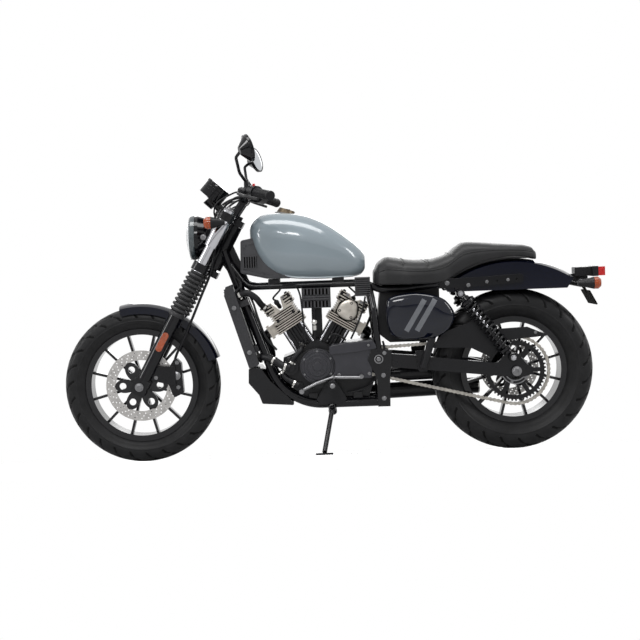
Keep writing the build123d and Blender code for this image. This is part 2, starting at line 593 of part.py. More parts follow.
# a cover's round steps: radius, inner y, outer y
CRANK_COVER = [(66, 100, 118), (60, 116, 124), (50, 122, 132), (36, 130, 136), (16, 134, 139)]
CLUTCH_COVER = [(84, 100, 128), (76, 126, 134), (50, 132, 140), (18, 138, 146)]
round_cover = Part() + [across(CRANK_X, CRANK_Z, r, y0, y1) for r, y0, y1 in CRANK_COVER]
clutch_cover = Part() + [across(730, 350, r, -y1, -y0) for r, y0, y1 in CLUTCH_COVER]
sprocket_cover = slab(
    [(700, 432), (640, 440), (540, 447), (519, 414), (543, 388), (546, 304), (700, 306)], 100, 134, 8
)
sprocket_cover += slab([(704, 428), (640, 437), (543, 444), (523, 415), (600, 404), (704, 396)], 130, 140, 4)
for x, z in ((556, 320), (556, 428), (670, 320)):
    sprocket_cover += across(x, z, 7, 132, 139)
sprocket_cover -= across(CRANK_X, CRANK_Z, 67, 90, 150)
nodes["engine_covers"] = [round_cover, sprocket_cover, clutch_cover]

nodes["barrels"] = [
    cylinder_plane(side) * block(BARREL_L, BARREL_W, BARREL_TOP - BARREL_FOOT, (0, 0, BARREL_FOOT)) for side in (1, -1)
]
studs = []
for side in (1, -1):
    for x in (BARREL_L / 2 - 8, 8 - BARREL_L / 2):
        for y in (BARREL_W / 2 + STUD_R, -BARREL_W / 2 - STUD_R):
            foot = Location((x, y, BARREL_FOOT - 22)) * Cylinder(
                STUD_R, BARREL_TOP - BARREL_FOOT + 22, align=(Align.CENTER, Align.CENTER, Align.MIN)
            )
            studs.append(cylinder_plane(side) * foot)
nodes["barrel_studs"] = studs

# fins: first height up the cylinder, count, length along the bike
FIN_GROUPS = [(BARREL_TOP, 4, 124), (BARREL_TOP + 38, 5, 106), (HEAD_TOP - 34, 3, 0)]


def head(side, notch_depth):
    """A finned cylinder head with two cam covers, the notch between them and the exhaust port."""
    ear, notch = 60, NOTCH_W / 2
    profile = [
        (-HEAD_L / 2, BARREL_TOP), (HEAD_L / 2, BARREL_TOP), (HEAD_L / 2, HEAD_TOP - 46), (ear, HEAD_TOP - 38),
        (ear, HEAD_TOP), (notch, HEAD_TOP), (6, HEAD_TOP - notch_depth), (-6, HEAD_TOP - notch_depth),
        (-notch, HEAD_TOP), (-ear, HEAD_TOP), (-ear, HEAD_TOP - 38), (-HEAD_L / 2, HEAD_TOP - 46),
    ]
    shape = slab(profile, -HEAD_W / 2, HEAD_W / 2)
    for z0, count, length in FIN_GROUPS[:2]:
        for i in range(count):
            shape += block(length, FIN_W, FIN_T, (0, 0, z0 + FIN_PITCH * i))
    for i in range(FIN_GROUPS[2][1]):
        for x in (ear, -ear):
            rib_x = x - (ear - notch) / 2 * (1 if x > 0 else -1)
            shape += block(ear - notch + 5, HEAD_W + 5, FIN_T, (rib_x, 0, FIN_GROUPS[2][0] + 11 * i))
    port_l = PORT_REACH - HEAD_L / 2 + 6
    shape += block(port_l, 62, PORT_H, (side * (PORT_REACH - port_l / 2), 0, PORT_Z - PORT_H / 2))
    shape += block(8, 78, PORT_H + 14, (side * (PORT_REACH - 4), 0, PORT_Z - PORT_H / 2 - 7))
    return shape


rear_cover = slab(
    [(-30, 262), (-38, 232), (-22, 208), (10, 204), (36, 216), (38, 250), (18, 278), (-14, 280)], HEAD_W / 2 - 4, 76, 14
)
nodes["cylinder_heads"] = [cylinder_plane(1) * head(1, 47), cylinder_plane(-1) * (head(-1, 14) + rear_cover)]

AIRBOX_X, AIRBOX_L, AIRBOX_W, AIRBOX_Z, AIRBOX_H = 746, 110, 196, 573, 76
airbox = block(AIRBOX_L, AIRBOX_W - 20, AIRBOX_H, (AIRBOX_X, 0, AIRBOX_Z))
for i in range(8):
    for z, height in ((AIRBOX_Z + 2, 24), (AIRBOX_Z + 50, 24)):
        airbox += block(6, AIRBOX_W, height, (AIRBOX_X - AIRBOX_L / 2 + 8 + 13.4 * i, 0, z))
airbox += block(AIRBOX_L, AIRBOX_W + 2, 6, (AIRBOX_X, 0, AIRBOX_Z + 31)) + block(
    AIRBOX_L, AIRBOX_W + 2, 6, (AIRBOX_X, 0, AIRBOX_Z + 40)
)
nodes["airbox"] = airbox

# ------------------------------------------------------------------ radiator, chin, exhaust
RADIATOR_TILT, RADIATOR_H, RADIATOR_W = 17, 322, 206
tilted = Location((990, 0, 358)) * Rot(Y=RADIATOR_TILT)
radiator = tilted * block(30, RADIATOR_W - 40, RADIATOR_H - 16, (0, 0, 8))
for side in (1, -1):
    shroud = slab(
        [(-22, 6), (-14, 0), (20, 0), (20, RADIATOR_H - 30), (4, RADIATOR_H), (-22, RADIATOR_H)],
        RADIATOR_W / 2 - 20, RADIATOR_W / 2, 3,
    )
    for z in (58, 236):
        shroud += across(-1, z, 8, RADIATOR_W / 2 - 1, RADIATOR_W / 2 + 4)
    radiator += tilted * (shroud if side > 0 else mirror(shroud, about=Plane.XZ))
for y in (60, -60):
    for z in (60, 240):
        radiator += tilted * (Location((-34, y, z)) * Box(50, 20, 22))
chin = slab(
    [(1012, 352), (1014, 296), (976, 250), (964, 216), (836, 206), (866, 240), (930, 300), (966, 352)], -96, 96, 6
)

def silencer(before, inlet, length):
    """A silencer in line with its pipe's last run, from before to inlet, with an open tail."""
    outline = [
        (0, 0), (EXHAUST_R + 1.5, 0), (MUFFLER_R, MUFFLER_CONE), (MUFFLER_R, length - 6), (MUFFLER_R - 6, length),
        (TAIL_BORE_R, length), (TAIL_BORE_R, length - 50), (0, length - 50),
    ]
    shape = revolve(Plane.XZ * make_face(Polyline(*outline, close=True)), axis=Axis.Z)
    axis = (Vector(*inlet) - Vector(*before)).normalized()
    return Plane(origin=inlet, z_dir=axis).location * shape


front_route = [
    (918, -4, 488), (950, -8, 466), (926, -32, 400), (938, -72, 328), (932, -118, 284), (868, -142, 248), (720, -162, 218),
    (574, -169, 221),
]
rear_route = [
    (580, -14, 490), (550, -26, 472), (562, -110, 448), (560, -166, 384), (552, -168, 290), (490, -169, 291),
]
header_pipes = [pipe(route, easy_bends(route), EXHAUST_R) for route in (front_route, rear_route)]
nodes["exhaust_headers"] = header_pipes
nodes["silencers"] = [silencer(*front_route[-2:], LOWER_MUFFLER_L), silencer(*rear_route[-2:], UPPER_MUFFLER_L)]

# ------------------------------------------------------------------ tank, covers, seat, fender
# x, low z, high z, width, corner radius
TANK_SECTIONS = [
    (990, 836, 884, 96, 22),
    (962, 774, 922, 196, 66),
    (905, 710, 938, 250, 92),
    (810, 685, 932, 274, 100),
    (710, 682, 897, 262, 92),
    (630, 684, 843, 222, 72),
    (574, 694, 793, 158, 46),
    (556, 716, 768, 104, 24),
]
tank = side_loft(TANK_SECTIONS)
nodes["tank"] = tank
nodes["tank_cap"] = rod((851, 0, 934), (845, 0, 952), 37, 30) - tank
front_cover = slab([(1026, 838), (1030, 714), (930, 690), (820, 688), (900, 760), (960, 850)], -76, 76, 10)

# x, low z, high z, width, corner radius
SEAT_SECTIONS = [
    (522, SEAT_Z, 716, 168, 26),
    (478, SEAT_Z, 757, 246, 44),
    (400, SEAT_Z, 745, 296, 44),
    (310, SEAT_Z, 743, 278, 42),
    (245, SEAT_Z + 4, 758, 226, 42),
    (180, SEAT_Z + 20, 802, 214, 44),
    (60, SEAT_Z + 40, 794, 204, 34),
    (-66, SEAT_Z + 50, 787, 176, 30),
    (-96, SEAT_Z + 62, 762, 140, 20),
]
seat_body = side_loft(SEAT_SECTIONS, ruled=True)
arch = Location((0, 0, REAR_R)) * (Rot(X=90) * Cylinder(REAR_FENDER_R + 1, 600))
nodes["seat"] = seat_body - arch

box_arch = Location((0, 0, REAR_R)) * (Rot(X=90) * Cylinder(REAR_R + 22, 600))
electrics = slab([(276, 640), (500, 640), (520, 470), (470, 430), (300, 430), (276, 470)], -52, 52, 6)
nodes["electrics_box"] = electrics - box_arch


def side_cover():
    """A domed pod over the machine's middle, under the seat."""
    outline = [(484, 500), (482, 596), (420, 618), (300, 618), (232, 560), (222, 520), (262, 464), (318, 440), (440, 446)]
    pod = slab(outline, 104, 150, 30)
    pod = fillet(pod.faces().sort_by(Axis.Y)[-1].edges(), 18)
    return pod + slab([(470, 600), (470, 460), (300, 460), (262, 520), (300, 600)], 52, 106, 6)


nodes["side_covers"] = both(side_cover())

rear_fender = fender_shell(REAR_FENDER_R, STRUT_Y, 150, -34, 73, 0, REAR_R)
below = Location((60, 0, 616)) * Box(900, 400, 600, align=(Align.CENTER, Align.CENTER, Align.MAX))
nodes["rear_fender"] = rear_fender - below

# ------------------------------------------------------------------ rear lamps and plate
TAIL_Z = 674
# the lamp housing is drawn for a 425 mm fender and moves out with the fender's back
TAIL_SEAT_Z = 655
TAIL_SEAT_X = -sqrt(REAR_FENDER_R**2 - (TAIL_SEAT_Z - REAR_R) ** 2)
tail_seat = Location((TAIL_SEAT_X + 248.2, 0, 0))
tail = block(74, 64, 34, (-284, 0, TAIL_Z - 17)) + block(22, 96, 38, (-324, 0, TAIL_Z - 19))
tail += slab([(-196, 655), (-260, 632), (-300, 632), (-300, 656), (-246, 668)], -14, 14)
tail += across(-262, 640, 8, -128, 128)
nodes["tail_lens"] = block(26, 92, 34, (-348, 0, TAIL_Z - 17))
REAR_SIGNAL_Y, REAR_SIGNAL_Z = 130, 632
for y in (REAR_SIGNAL_Y, -REAR_SIGNAL_Y):
    tail += rod((-240, y, REAR_SIGNAL_Z), (-300, y, REAR_SIGNAL_Z), 9, SIGNAL_R)
rear_lens = rod((-300, REAR_SIGNAL_Y, REAR_SIGNAL_Z), (-316, REAR_SIGNAL_Y, REAR_SIGNAL_Z), SIGNAL_R)
rear_lens += rod((-316, REAR_SIGNAL_Y, REAR_SIGNAL_Z), (-326, REAR_SIGNAL_Y, REAR_SIGNAL_Z), SIGNAL_R, SIGNAL_R - 8)
nodes["rear_amber_lenses"] = [tail_seat * lens for lens in both(rear_lens)]
nodes["rear_lamps"] = tail_seat * tail
nodes["tail_lens"] = tail_seat * nodes["tail_lens"]

PLATE_HOLE_GAP, PLATE_HOLE_R, PLATE_T = 110, 3.5, 5
plate_tilt = Location((-306, 0, 575)) * Rot(Y=28)
bracket = plate_tilt * Box(PLATE_T, 170, 60)
for y in (PLATE_HOLE_GAP / 2, -PLATE_HOLE_GAP / 2):
    bracket -= plate_tilt * (Location((0, y, 0)) * (Rot(Y=90) * Cylinder(PLATE_HOLE_R, 20)))
bracket += plate_tilt * Location((0, 0, 45)) * Box(PLATE_T + 3, 24, 50)
nodes["plate_bracket"] = tail_seat * bracket

# ------------------------------------------------------------------ swingarm, shocks, chain guard
arm_outline = [
    (PIVOT_X + 24, PIVOT_Z + 10), (PIVOT_X + 14, PIVOT_Z + 24), (400, PIVOT_Z + 10), (70, REAR_R + 32), (36, SHOCK_BOTTOM[1] + 16),
    (-6, SHOCK_BOTTOM[1] + 16), (-40, REAR_R + 24), (-64, REAR_R + 12), (-64, REAR_R - 14), (-20, REAR_R - 26), (60, REAR_R - 18),
    (400, PIVOT_Z - 42), (PIVOT_X + 8, PIVOT_Z - 26),
]
arm = slab(arm_outline, ARM_Y, ARM_Y + ARM_T, 5)
arm += across(SHOCK_BOTTOM[0], SHOCK_BOTTOM[1], 8, ARM_Y, SHOCK_Y + 16)
swingarm = both(arm)
swingarm = swingarm[0] + swingarm[1]
swingarm += across(0, REAR_R, AXLE_R, -ARM_Y - ARM_T - 14, ARM_Y + ARM_T + 14)
swingarm += across(0, REAR_R, AXLE_R + 7, CHAIN_Y + SPROCKET_T, ARM_Y + 2) + across(
    0, REAR_R, AXLE_R + 7, -ARM_Y - 2, REAR_DISC_Y - DISC_T
)
bridge_x = REAR_R + 46
swingarm += block(44, 2 * ARM_Y + 4, 34, (bridge_x + 24, 0, PIVOT_Z - 36)) - Location((0, CHAIN_Y, 0)) * Box(
    2000, CHAIN_W + 4, 4000
)
nodes["swingarm"] = swingarm


def shock():
    """One spring and damper unit: eyes, body, shaft and the coils as stacked rings."""
    top, bottom = (SHOCK_TOP[0], SHOCK_Y, SHOCK_TOP[1]), (SHOCK_BOTTOM[0], SHOCK_Y, SHOCK_BOTTOM[1])
    axis = Vector(*top) - Vector(*bottom)
    length, unit = axis.length, axis.normalized()

    def up(distance):
        p = Vector(*bottom) + unit * distance
        return (p.X, p.Y, p.Z)

    unit_shape = across(top[0], top[2], 14, SHOCK_Y - 11, SHOCK_Y + 11) + across(
        bottom[0], bottom[2], 14, SHOCK_Y - 11, SHOCK_Y + 11
    )
    unit_shape += rod(up(10), up(length - 10), 7)
    unit_shape += rod(up(110), up(length - 20), 15)
    unit_shape += rod(up(84), up(92), SPRING_R + 3) + rod(up(length - 30), up(length - 22), SPRING_R + 3)
    pitch = (length - 30 - 92) / SPRING_TURNS
    for i in range(SPRING_TURNS):
        unit_shape += rod(up(92 + pitch * (i + 0.3)), up(92 + pitch * (i + 0.3) + SPRING_WIRE_R * 1.7), SPRING_R + 2)
    return unit_shape


shocks = both(shock())
guard = slab(
    [(318, 406), (266, 466), (178, 494), (113, 540), (64, 470), (-49, 474), (-132, 438), (54, 424), (90, 362), (168, 402)],
    CHAIN_Y + CHAIN_W / 2 + 2, CHAIN_Y + CHAIN_W / 2 + 5, 3,
)

# ------------------------------------------------------------------ pegs, pedals, rear caliper, stand
peg_y = 128
peg_bracket = slab([(700, 302), (680, 292), (643, 226), (656, 208), (744, 208), (758, 226), (718, 292)], 107, 113, 5)
peg = peg_bracket + across(697, 288, 9, 110, 232) + across(697, 288, 16, 162, 232)
pegs = both(peg)

passenger = rod((351, 146, 337), (318, 170, 448), 14) + slab([(380, 400), (330, 400), (336, 320), (368, 320)], 124, 130, 6)
passenger += across(351, 340, 9, 122, 150)

shifter = rod((694, 150, 312), (586, 150, 308), 6) + across(694, 312, 8, 139, 156) + across(586, 312, 8, 138, 156)
shifter += pipe([(694, 156, 312), (760, 168, 292), (812, 172, 268)], [60], 6) + across(812, 268, 9, 160, 214)
brake_pedal = pipe([(725, -186, 285), (790, -190, 262), (838, -194, 250)], [60], 7) + across(838, 250, 14, -236, -188)
brake_pedal += across(725, 285, 9, -190, -112)

rear_caliper = slab([(96, 392), (50, 420), (8, 432), (8, 398), (52, 372), (88, 352)], REAR_DISC_Y - 22, REAR_DISC_Y + 22, 8)
rear_caliper += slab([(8, 420), (88, 372), (80, 340), (8, 350)], -102, -94, 4)
rear_caliper -= Location((0, REAR_DISC_Y, REAR_R)) * (Rot(X=90) * Cylinder(REAR_DISC_R + 6, DISC_T + 8))

# ------------------------------------------------------------------ side stand
stand_foot = Vector(STAND_FOOT_X, STAND_FOOT_Y, STAND_FOOT_Y * tan(radians(LEAN)))
pivot = Vector(*STAND_PIVOT)
leg_way = (stand_foot + Vector(0, 0, STAND_R) - pivot).normalized()
STAND_FOLDED_WAY = Vector(-1, 0.32, -0.20).normalized()
STAND_AXIS = leg_way.cross(STAND_FOLDED_WAY).normalized()
STAND_EYE_R, STAND_EYE_T, STAND_PIN_R, STAND_PLAY = 14, 20, 5, 0.4
half_eye = STAND_EYE_T / 2
eye_back, eye_front = pivot - STAND_AXIS * half_eye, pivot + STAND_AXIS * half_eye
side_stand = rod(tuple(eye_back), tuple(eye_front), STAND_EYE_R)
side_stand += rod(tuple(pivot), tuple(stand_foot + Vector(0, 0, STAND_R + 1)), STAND_R)
side_stand -= rod(tuple(eye_back - STAND_AXIS * 20), tuple(eye_front + STAND_AXIS * 20), STAND_PIN_R + STAND_PLAY)
FOOT_T = 7
foot = Location(tuple(stand_foot)) * (Rot(X=LEAN) * block(64, 46, FOOT_T))
side_stand += foot
nodes["side_stand"] = side_stand

tab_face = pivot - STAND_AXIS * (half_eye + STAND_PLAY)
tab_back = tab_face - STAND_AXIS * 10
stand_tab = rod(tuple(tab_back), tuple(tab_face), STAND_EYE_R + 2)
tab_arm = Plane(origin=tab_back, x_dir=(1, 0, 0), z_dir=tuple(STAND_AXIS)).location * block(30, 44, 10, (0, -20, 0))
stand_tab += rod(tuple(tab_back), tuple(eye_front + STAND_AXIS * STAND_PLAY), STAND_PIN_R)
stand_tab += rod(
    tuple(eye_front + STAND_AXIS * STAND_PLAY), tuple(eye_front + STAND_AXIS * (STAND_PLAY + 5)), STAND_PIN_R + 4
)

nodes["frame_neck"] = frame_neck - stem_bore
nodes["frame_cradle"] = [cradle_sides[0] + stand_tab + tab_arm, cradle_sides[1]]
nodes["radiator"] = radiator
nodes["chin_fairing"] = chin
nodes["tank_cover"] = front_cover
nodes["electrics_box"] = electrics
nodes["shocks"] = shocks
nodes["chain_guard"] = guard
nodes["footpegs"] = pegs + both(passenger)
nodes["foot_controls"] = [shifter, brake_pedal]
nodes["rear_caliper"] = rear_caliper

# ------------------------------------------------------------------ seats between neighbours
# each piece is relieved where the firmer pieces beside it pass through
GIVES_WAY = {
    "frame_rails": ["frame_neck"],
    "fender_struts": ["frame_rails"],
    "frame_cradle": ["frame_neck", "frame_rails"],
    "crankcase": ["frame_cradle"],
    "barrels": ["crankcase"],
    "barrel_studs": ["crankcase", "barrels"],
    "cylinder_heads": ["crankcase", "barrels"],
    "airbox": ["cylinder_heads", "crankcase", "frame_neck", "frame_rails"],
    "engine_covers": ["crankcase", "frame_cradle"],
    "swingarm": ["frame_cradle"],
    "shocks": ["fender_struts", "swingarm"],
    "exhaust_headers": ["cylinder_heads", "crankcase", "frame_cradle", "engine_covers"],
    "radiator": ["frame_cradle"],
    "chin_fairing": ["frame_cradle", "exhaust_headers", "radiator"],
    "tank": ["frame_neck", "frame_rails"],
    "tank_cover": ["tank", "frame_neck", "frame_rails", "frame_cradle", "radiator"],
    "seat": ["frame_rails", "fender_struts", "tank", "frame_cradle"],
    "electrics_box": ["frame_rails", "fender_struts", "frame_cradle"],
    "side_covers": ["electrics_box", "frame_rails", "fender_struts", "frame_cradle", "seat"],
    "rear_lamps": ["rear_fender"],
    "plate_bracket": ["rear_lamps"],
    "footpegs": ["frame_cradle", "engine_covers"],
    "foot_controls": ["footpegs", "engine_covers"],
    "rear_caliper": ["swingarm"],
    "mirrors": ["hand_controls"],
    "headlight": ["triple_clamps", "fork_tubes"],
    "front_fender": ["fork_gaiters"],
    "brake_hose": ["hand_controls", "front_caliper"],
}


def as_list(node):
    return list(node) if isinstance(node, (list, ShapeList)) else [node]


for name, firmer in GIVES_WAY.items():
    pieces = []
    for piece in as_list(nodes[name]):
        for other in firmer:
            for solid in as_list(nodes[other]):
                piece -= solid
        pieces.append(piece.solids().sort_by(SortBy.VOLUME)[-1])  # offcuts beyond the neighbour go
    nodes[name] = pieces


def parked(shape):
    """Leans the upright machine onto its stand, over the footprint's centre."""
    return Location(PARK_SHIFT) * (Rot(X=-LEAN) * shape)


for name, node in nodes.items():
    solids = []
    for piece in as_list(node):
        solids += parked(piece).solids()
    export_step(Compound(children=solids), f"parts/{name}.step")
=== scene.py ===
"""Dresses the cruiser motorcycle's frame with finishes, tread, trim, hoses and bolts, and lights it.

Pieces are drawn upright in the machine's own frame in millimetres: x runs forward from the rear axle, y to
the left and z up from the ground. PARK then leans them onto the side stand, as the solids are."""

import bpy
import bmesh
from functools import partial
from math import acos, atan2, cos, hypot, pi, radians, sin, sqrt
from mathutils import Matrix, Vector, noise
from mathutils.geometry import tessellate_polygon


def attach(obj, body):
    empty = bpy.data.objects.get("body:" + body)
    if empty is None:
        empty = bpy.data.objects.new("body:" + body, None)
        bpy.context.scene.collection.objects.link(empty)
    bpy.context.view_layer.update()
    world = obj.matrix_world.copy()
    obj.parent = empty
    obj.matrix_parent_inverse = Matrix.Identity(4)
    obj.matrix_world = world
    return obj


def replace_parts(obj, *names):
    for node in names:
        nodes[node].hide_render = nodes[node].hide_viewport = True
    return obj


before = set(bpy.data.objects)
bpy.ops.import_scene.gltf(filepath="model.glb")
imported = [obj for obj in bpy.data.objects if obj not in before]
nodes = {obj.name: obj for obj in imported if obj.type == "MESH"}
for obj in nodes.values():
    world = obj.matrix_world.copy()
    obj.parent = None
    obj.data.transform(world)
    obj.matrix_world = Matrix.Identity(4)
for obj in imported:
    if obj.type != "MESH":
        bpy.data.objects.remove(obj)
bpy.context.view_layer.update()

LEAN = 8  # degrees, onto the side stand
PARK = (
    Matrix.Translation((-0.6815, -0.1365, 0.00095))
    @ Matrix.Rotation(radians(-LEAN), 4, "X")
    @ Matrix.Scale(0.001, 4)
)
WHEELBASE, FRONT_R, REAR_R = 1425, 299, 310
FRONT_HUB, REAR_HUB = (WHEELBASE, FRONT_R), (0, REAR_R)
FORK_Y = 105
CRANK = (750, 353)
UP, LEFT = Vector((0, 0, 1)), Vector((0, 1, 0))
RAKE_S, RAKE_C = sin(radians(29)), cos(radians(29))  # the fork's rake
FORK_UP, FORK_BACK = (-RAKE_S, 0, RAKE_C), (-RAKE_C, 0, -RAKE_S)


def fork(t, y=0, ahead=0):
    """A point t up the fork from the front axle."""
    return Vector((WHEELBASE - t * RAKE_S + ahead * RAKE_C, y, FRONT_R + t * RAKE_C + ahead * RAKE_S))


# ---------------- materials
def wire(tree, made, inputs):
    """Sets a node's inputs: a socket is linked, and a number or a colour is written in."""
    for key, value in inputs.items():
        if isinstance(value, bpy.types.NodeSocket):
            tree.links.new(value, made.inputs[key])
        else:
            made.inputs[key].default_value = value


def node(tree, kind, inputs=None, **settings):
    made = tree.nodes.new("ShaderNode" + kind)
    for name, value in settings.items():
        setattr(made, name, value)
    wire(tree, made, inputs or {})
    return made


def compute(tree, operation, *values):
    return node(tree, "Math", dict(enumerate(values)), operation=operation).outputs[0]


def ramp(tree, factor, low, high, span=(0, 1)):
    """The colour between low and high that a socket's number picks."""
    made = node(tree, "ValToRGB", {"Fac": factor})
    for stop, place, color in zip(made.color_ramp.elements, span, (low, high)):
        stop.position = place
        stop.color = (*color, 1)
    return made.outputs["Color"]


def blank_material(name):
    m = bpy.data.materials.new(name)
    m.use_nodes = True
    tree = m.node_tree
    return m, tree, tree.nodes["Principled BSDF"], node(tree, "TexCoord").outputs["Object"]


def material(name, color, rough=0.5, metal=0.0, coat=0.0, vary=(0.12, 12), grain=(0, 900), cells=False,
             rough_vary=0.12, spec=0.5, trans=0.0, sheen=0.0, edge=0.0):
    """A finish. vary is the (share, scale) of its uneven colour and grain the (strength, scale) of its fine
    bumps; edge is the radius in metres that its corners catch the light with."""
    m, tree, shader, space = blank_material(name)
    share, scale = vary
    cloud = node(tree, "TexNoise", {"Vector": space, "Scale": scale, "Detail": 5}).outputs["Fac"]
    low, high = [c * (1 - share) for c in color], [min(1, c * (1 + share)) for c in color]
    wear = node(tree, "TexNoise", {"Vector": space, "Scale": scale * 6, "Detail": 6}).outputs["Fac"]
    smooth, coarse = max(0.02, rough * (1 - rough_vary)), min(1, rough * (1 + rough_vary))
    wire(tree, shader, {
        "Base Color": ramp(tree, cloud, low, high, (0.3, 0.7)),
        "Roughness": node(tree, "MapRange", {"Value": wear, "To Min": smooth, "To Max": coarse}).outputs[0],
        "Metallic": metal, "Specular IOR Level": spec, "IOR": 1.45, "Transmission Weight": trans,
        "Coat Weight": coat, "Coat Roughness": 0.03, "Sheen Weight": sheen,
    })
    strength, size = grain
    if strength:
        bumps = node(tree, "TexVoronoi" if cells else "TexNoise", {"Vector": space, "Scale": size})
        height = bumps.outputs["Distance" if cells else "Fac"]
        bump = node(tree, "Bump", {"Strength": strength, "Distance": 0.0006, "Height": height})
        if edge:
            wire(tree, bump, {"Normal": node(tree, "Bevel", {"Radius": edge}, samples=4).outputs[0]})
        wire(tree, shader, {"Normal": bump.outputs[0]})
    return m


def lens_material(name, color):
    """A tinted lens whose inside is moulded in a fine grid; it also glows faintly in its own colour though no
    lamp behind it is lit, which is painted light.
    """
    m = material(name, color, 0.1, coat=0.4, vary=(0.15, 60), spec=0.3)
    tree = m.node_tree
    space = node(tree, "TexCoord").outputs["Object"]
    bands = [node(tree, "TexWave", {"Vector": space, "Scale": 70}, bands_direction=way) for way in "XZ"]
    grid = compute(tree, "MAXIMUM", *(band.outputs["Fac"] for band in bands))
    bump = node(tree, "Bump", {"Strength": 0.5, "Distance": 0.001, "Height": grid})
    wire(tree, tree.nodes["Principled BSDF"], {
        # a faint glow in the lens's own colour: painted light
        "Normal": bump.outputs[0], "Emission Color": (*color, 1), "Emission Strength": 0.1,
    })
    return m


def striped(name, stripe, lines, width):
    """Gloss paint with slanted stripes. A line is (x0, z0, x1, z1) in the machine's side view."""
    m = material(name, (0.002, 0.003, 0.008), 0.07, coat=0.4, spec=0.2)
    tree = m.node_tree
    shader = tree.nodes["Principled BSDF"]
    upright = node(tree, "Mapping", {
        "Vector": node(tree, "TexCoord").outputs["Object"],
        "Location": PARK.translation,
        "Rotation": (radians(-LEAN), 0, 0),
    }, vector_type="TEXTURE")
    seen = node(tree, "SeparateXYZ", {0: upright.outputs[0]}).outputs

    sums = partial(compute, tree)
    total = 0.0
    for x0, z0, x1, z1 in lines:
        length = hypot(x1 - x0, z1 - z0)
        ux, uz = (x1 - x0) / length, (z1 - z0) / length
        dx, dz = sums("SUBTRACT", seen["X"], x0 / 1000), sums("SUBTRACT", seen["Z"], z0 / 1000)
        along = sums("ADD", sums("MULTIPLY", dx, ux), sums("MULTIPLY", dz, uz))
        off = sums("ABSOLUTE", sums("SUBTRACT", sums("MULTIPLY", dx, uz), sums("MULTIPLY", dz, ux)))
        inside = sums("MULTIPLY", sums("LESS_THAN", off, width / 2000), sums("GREATER_THAN", along, 0))
        inside = sums("MULTIPLY", inside, sums("LESS_THAN", along, length / 1000))
        total = sums("MAXIMUM", total, inside)
    paint = shader.inputs["Base Color"].links[0].from_socket
    mix = node(tree, "Mix", {0: total, 6: paint, 7: (*stripe, 1)}, data_type="RGBA")
    wire(tree, shader, {"Base Color": mix.outputs[2]})
    return m


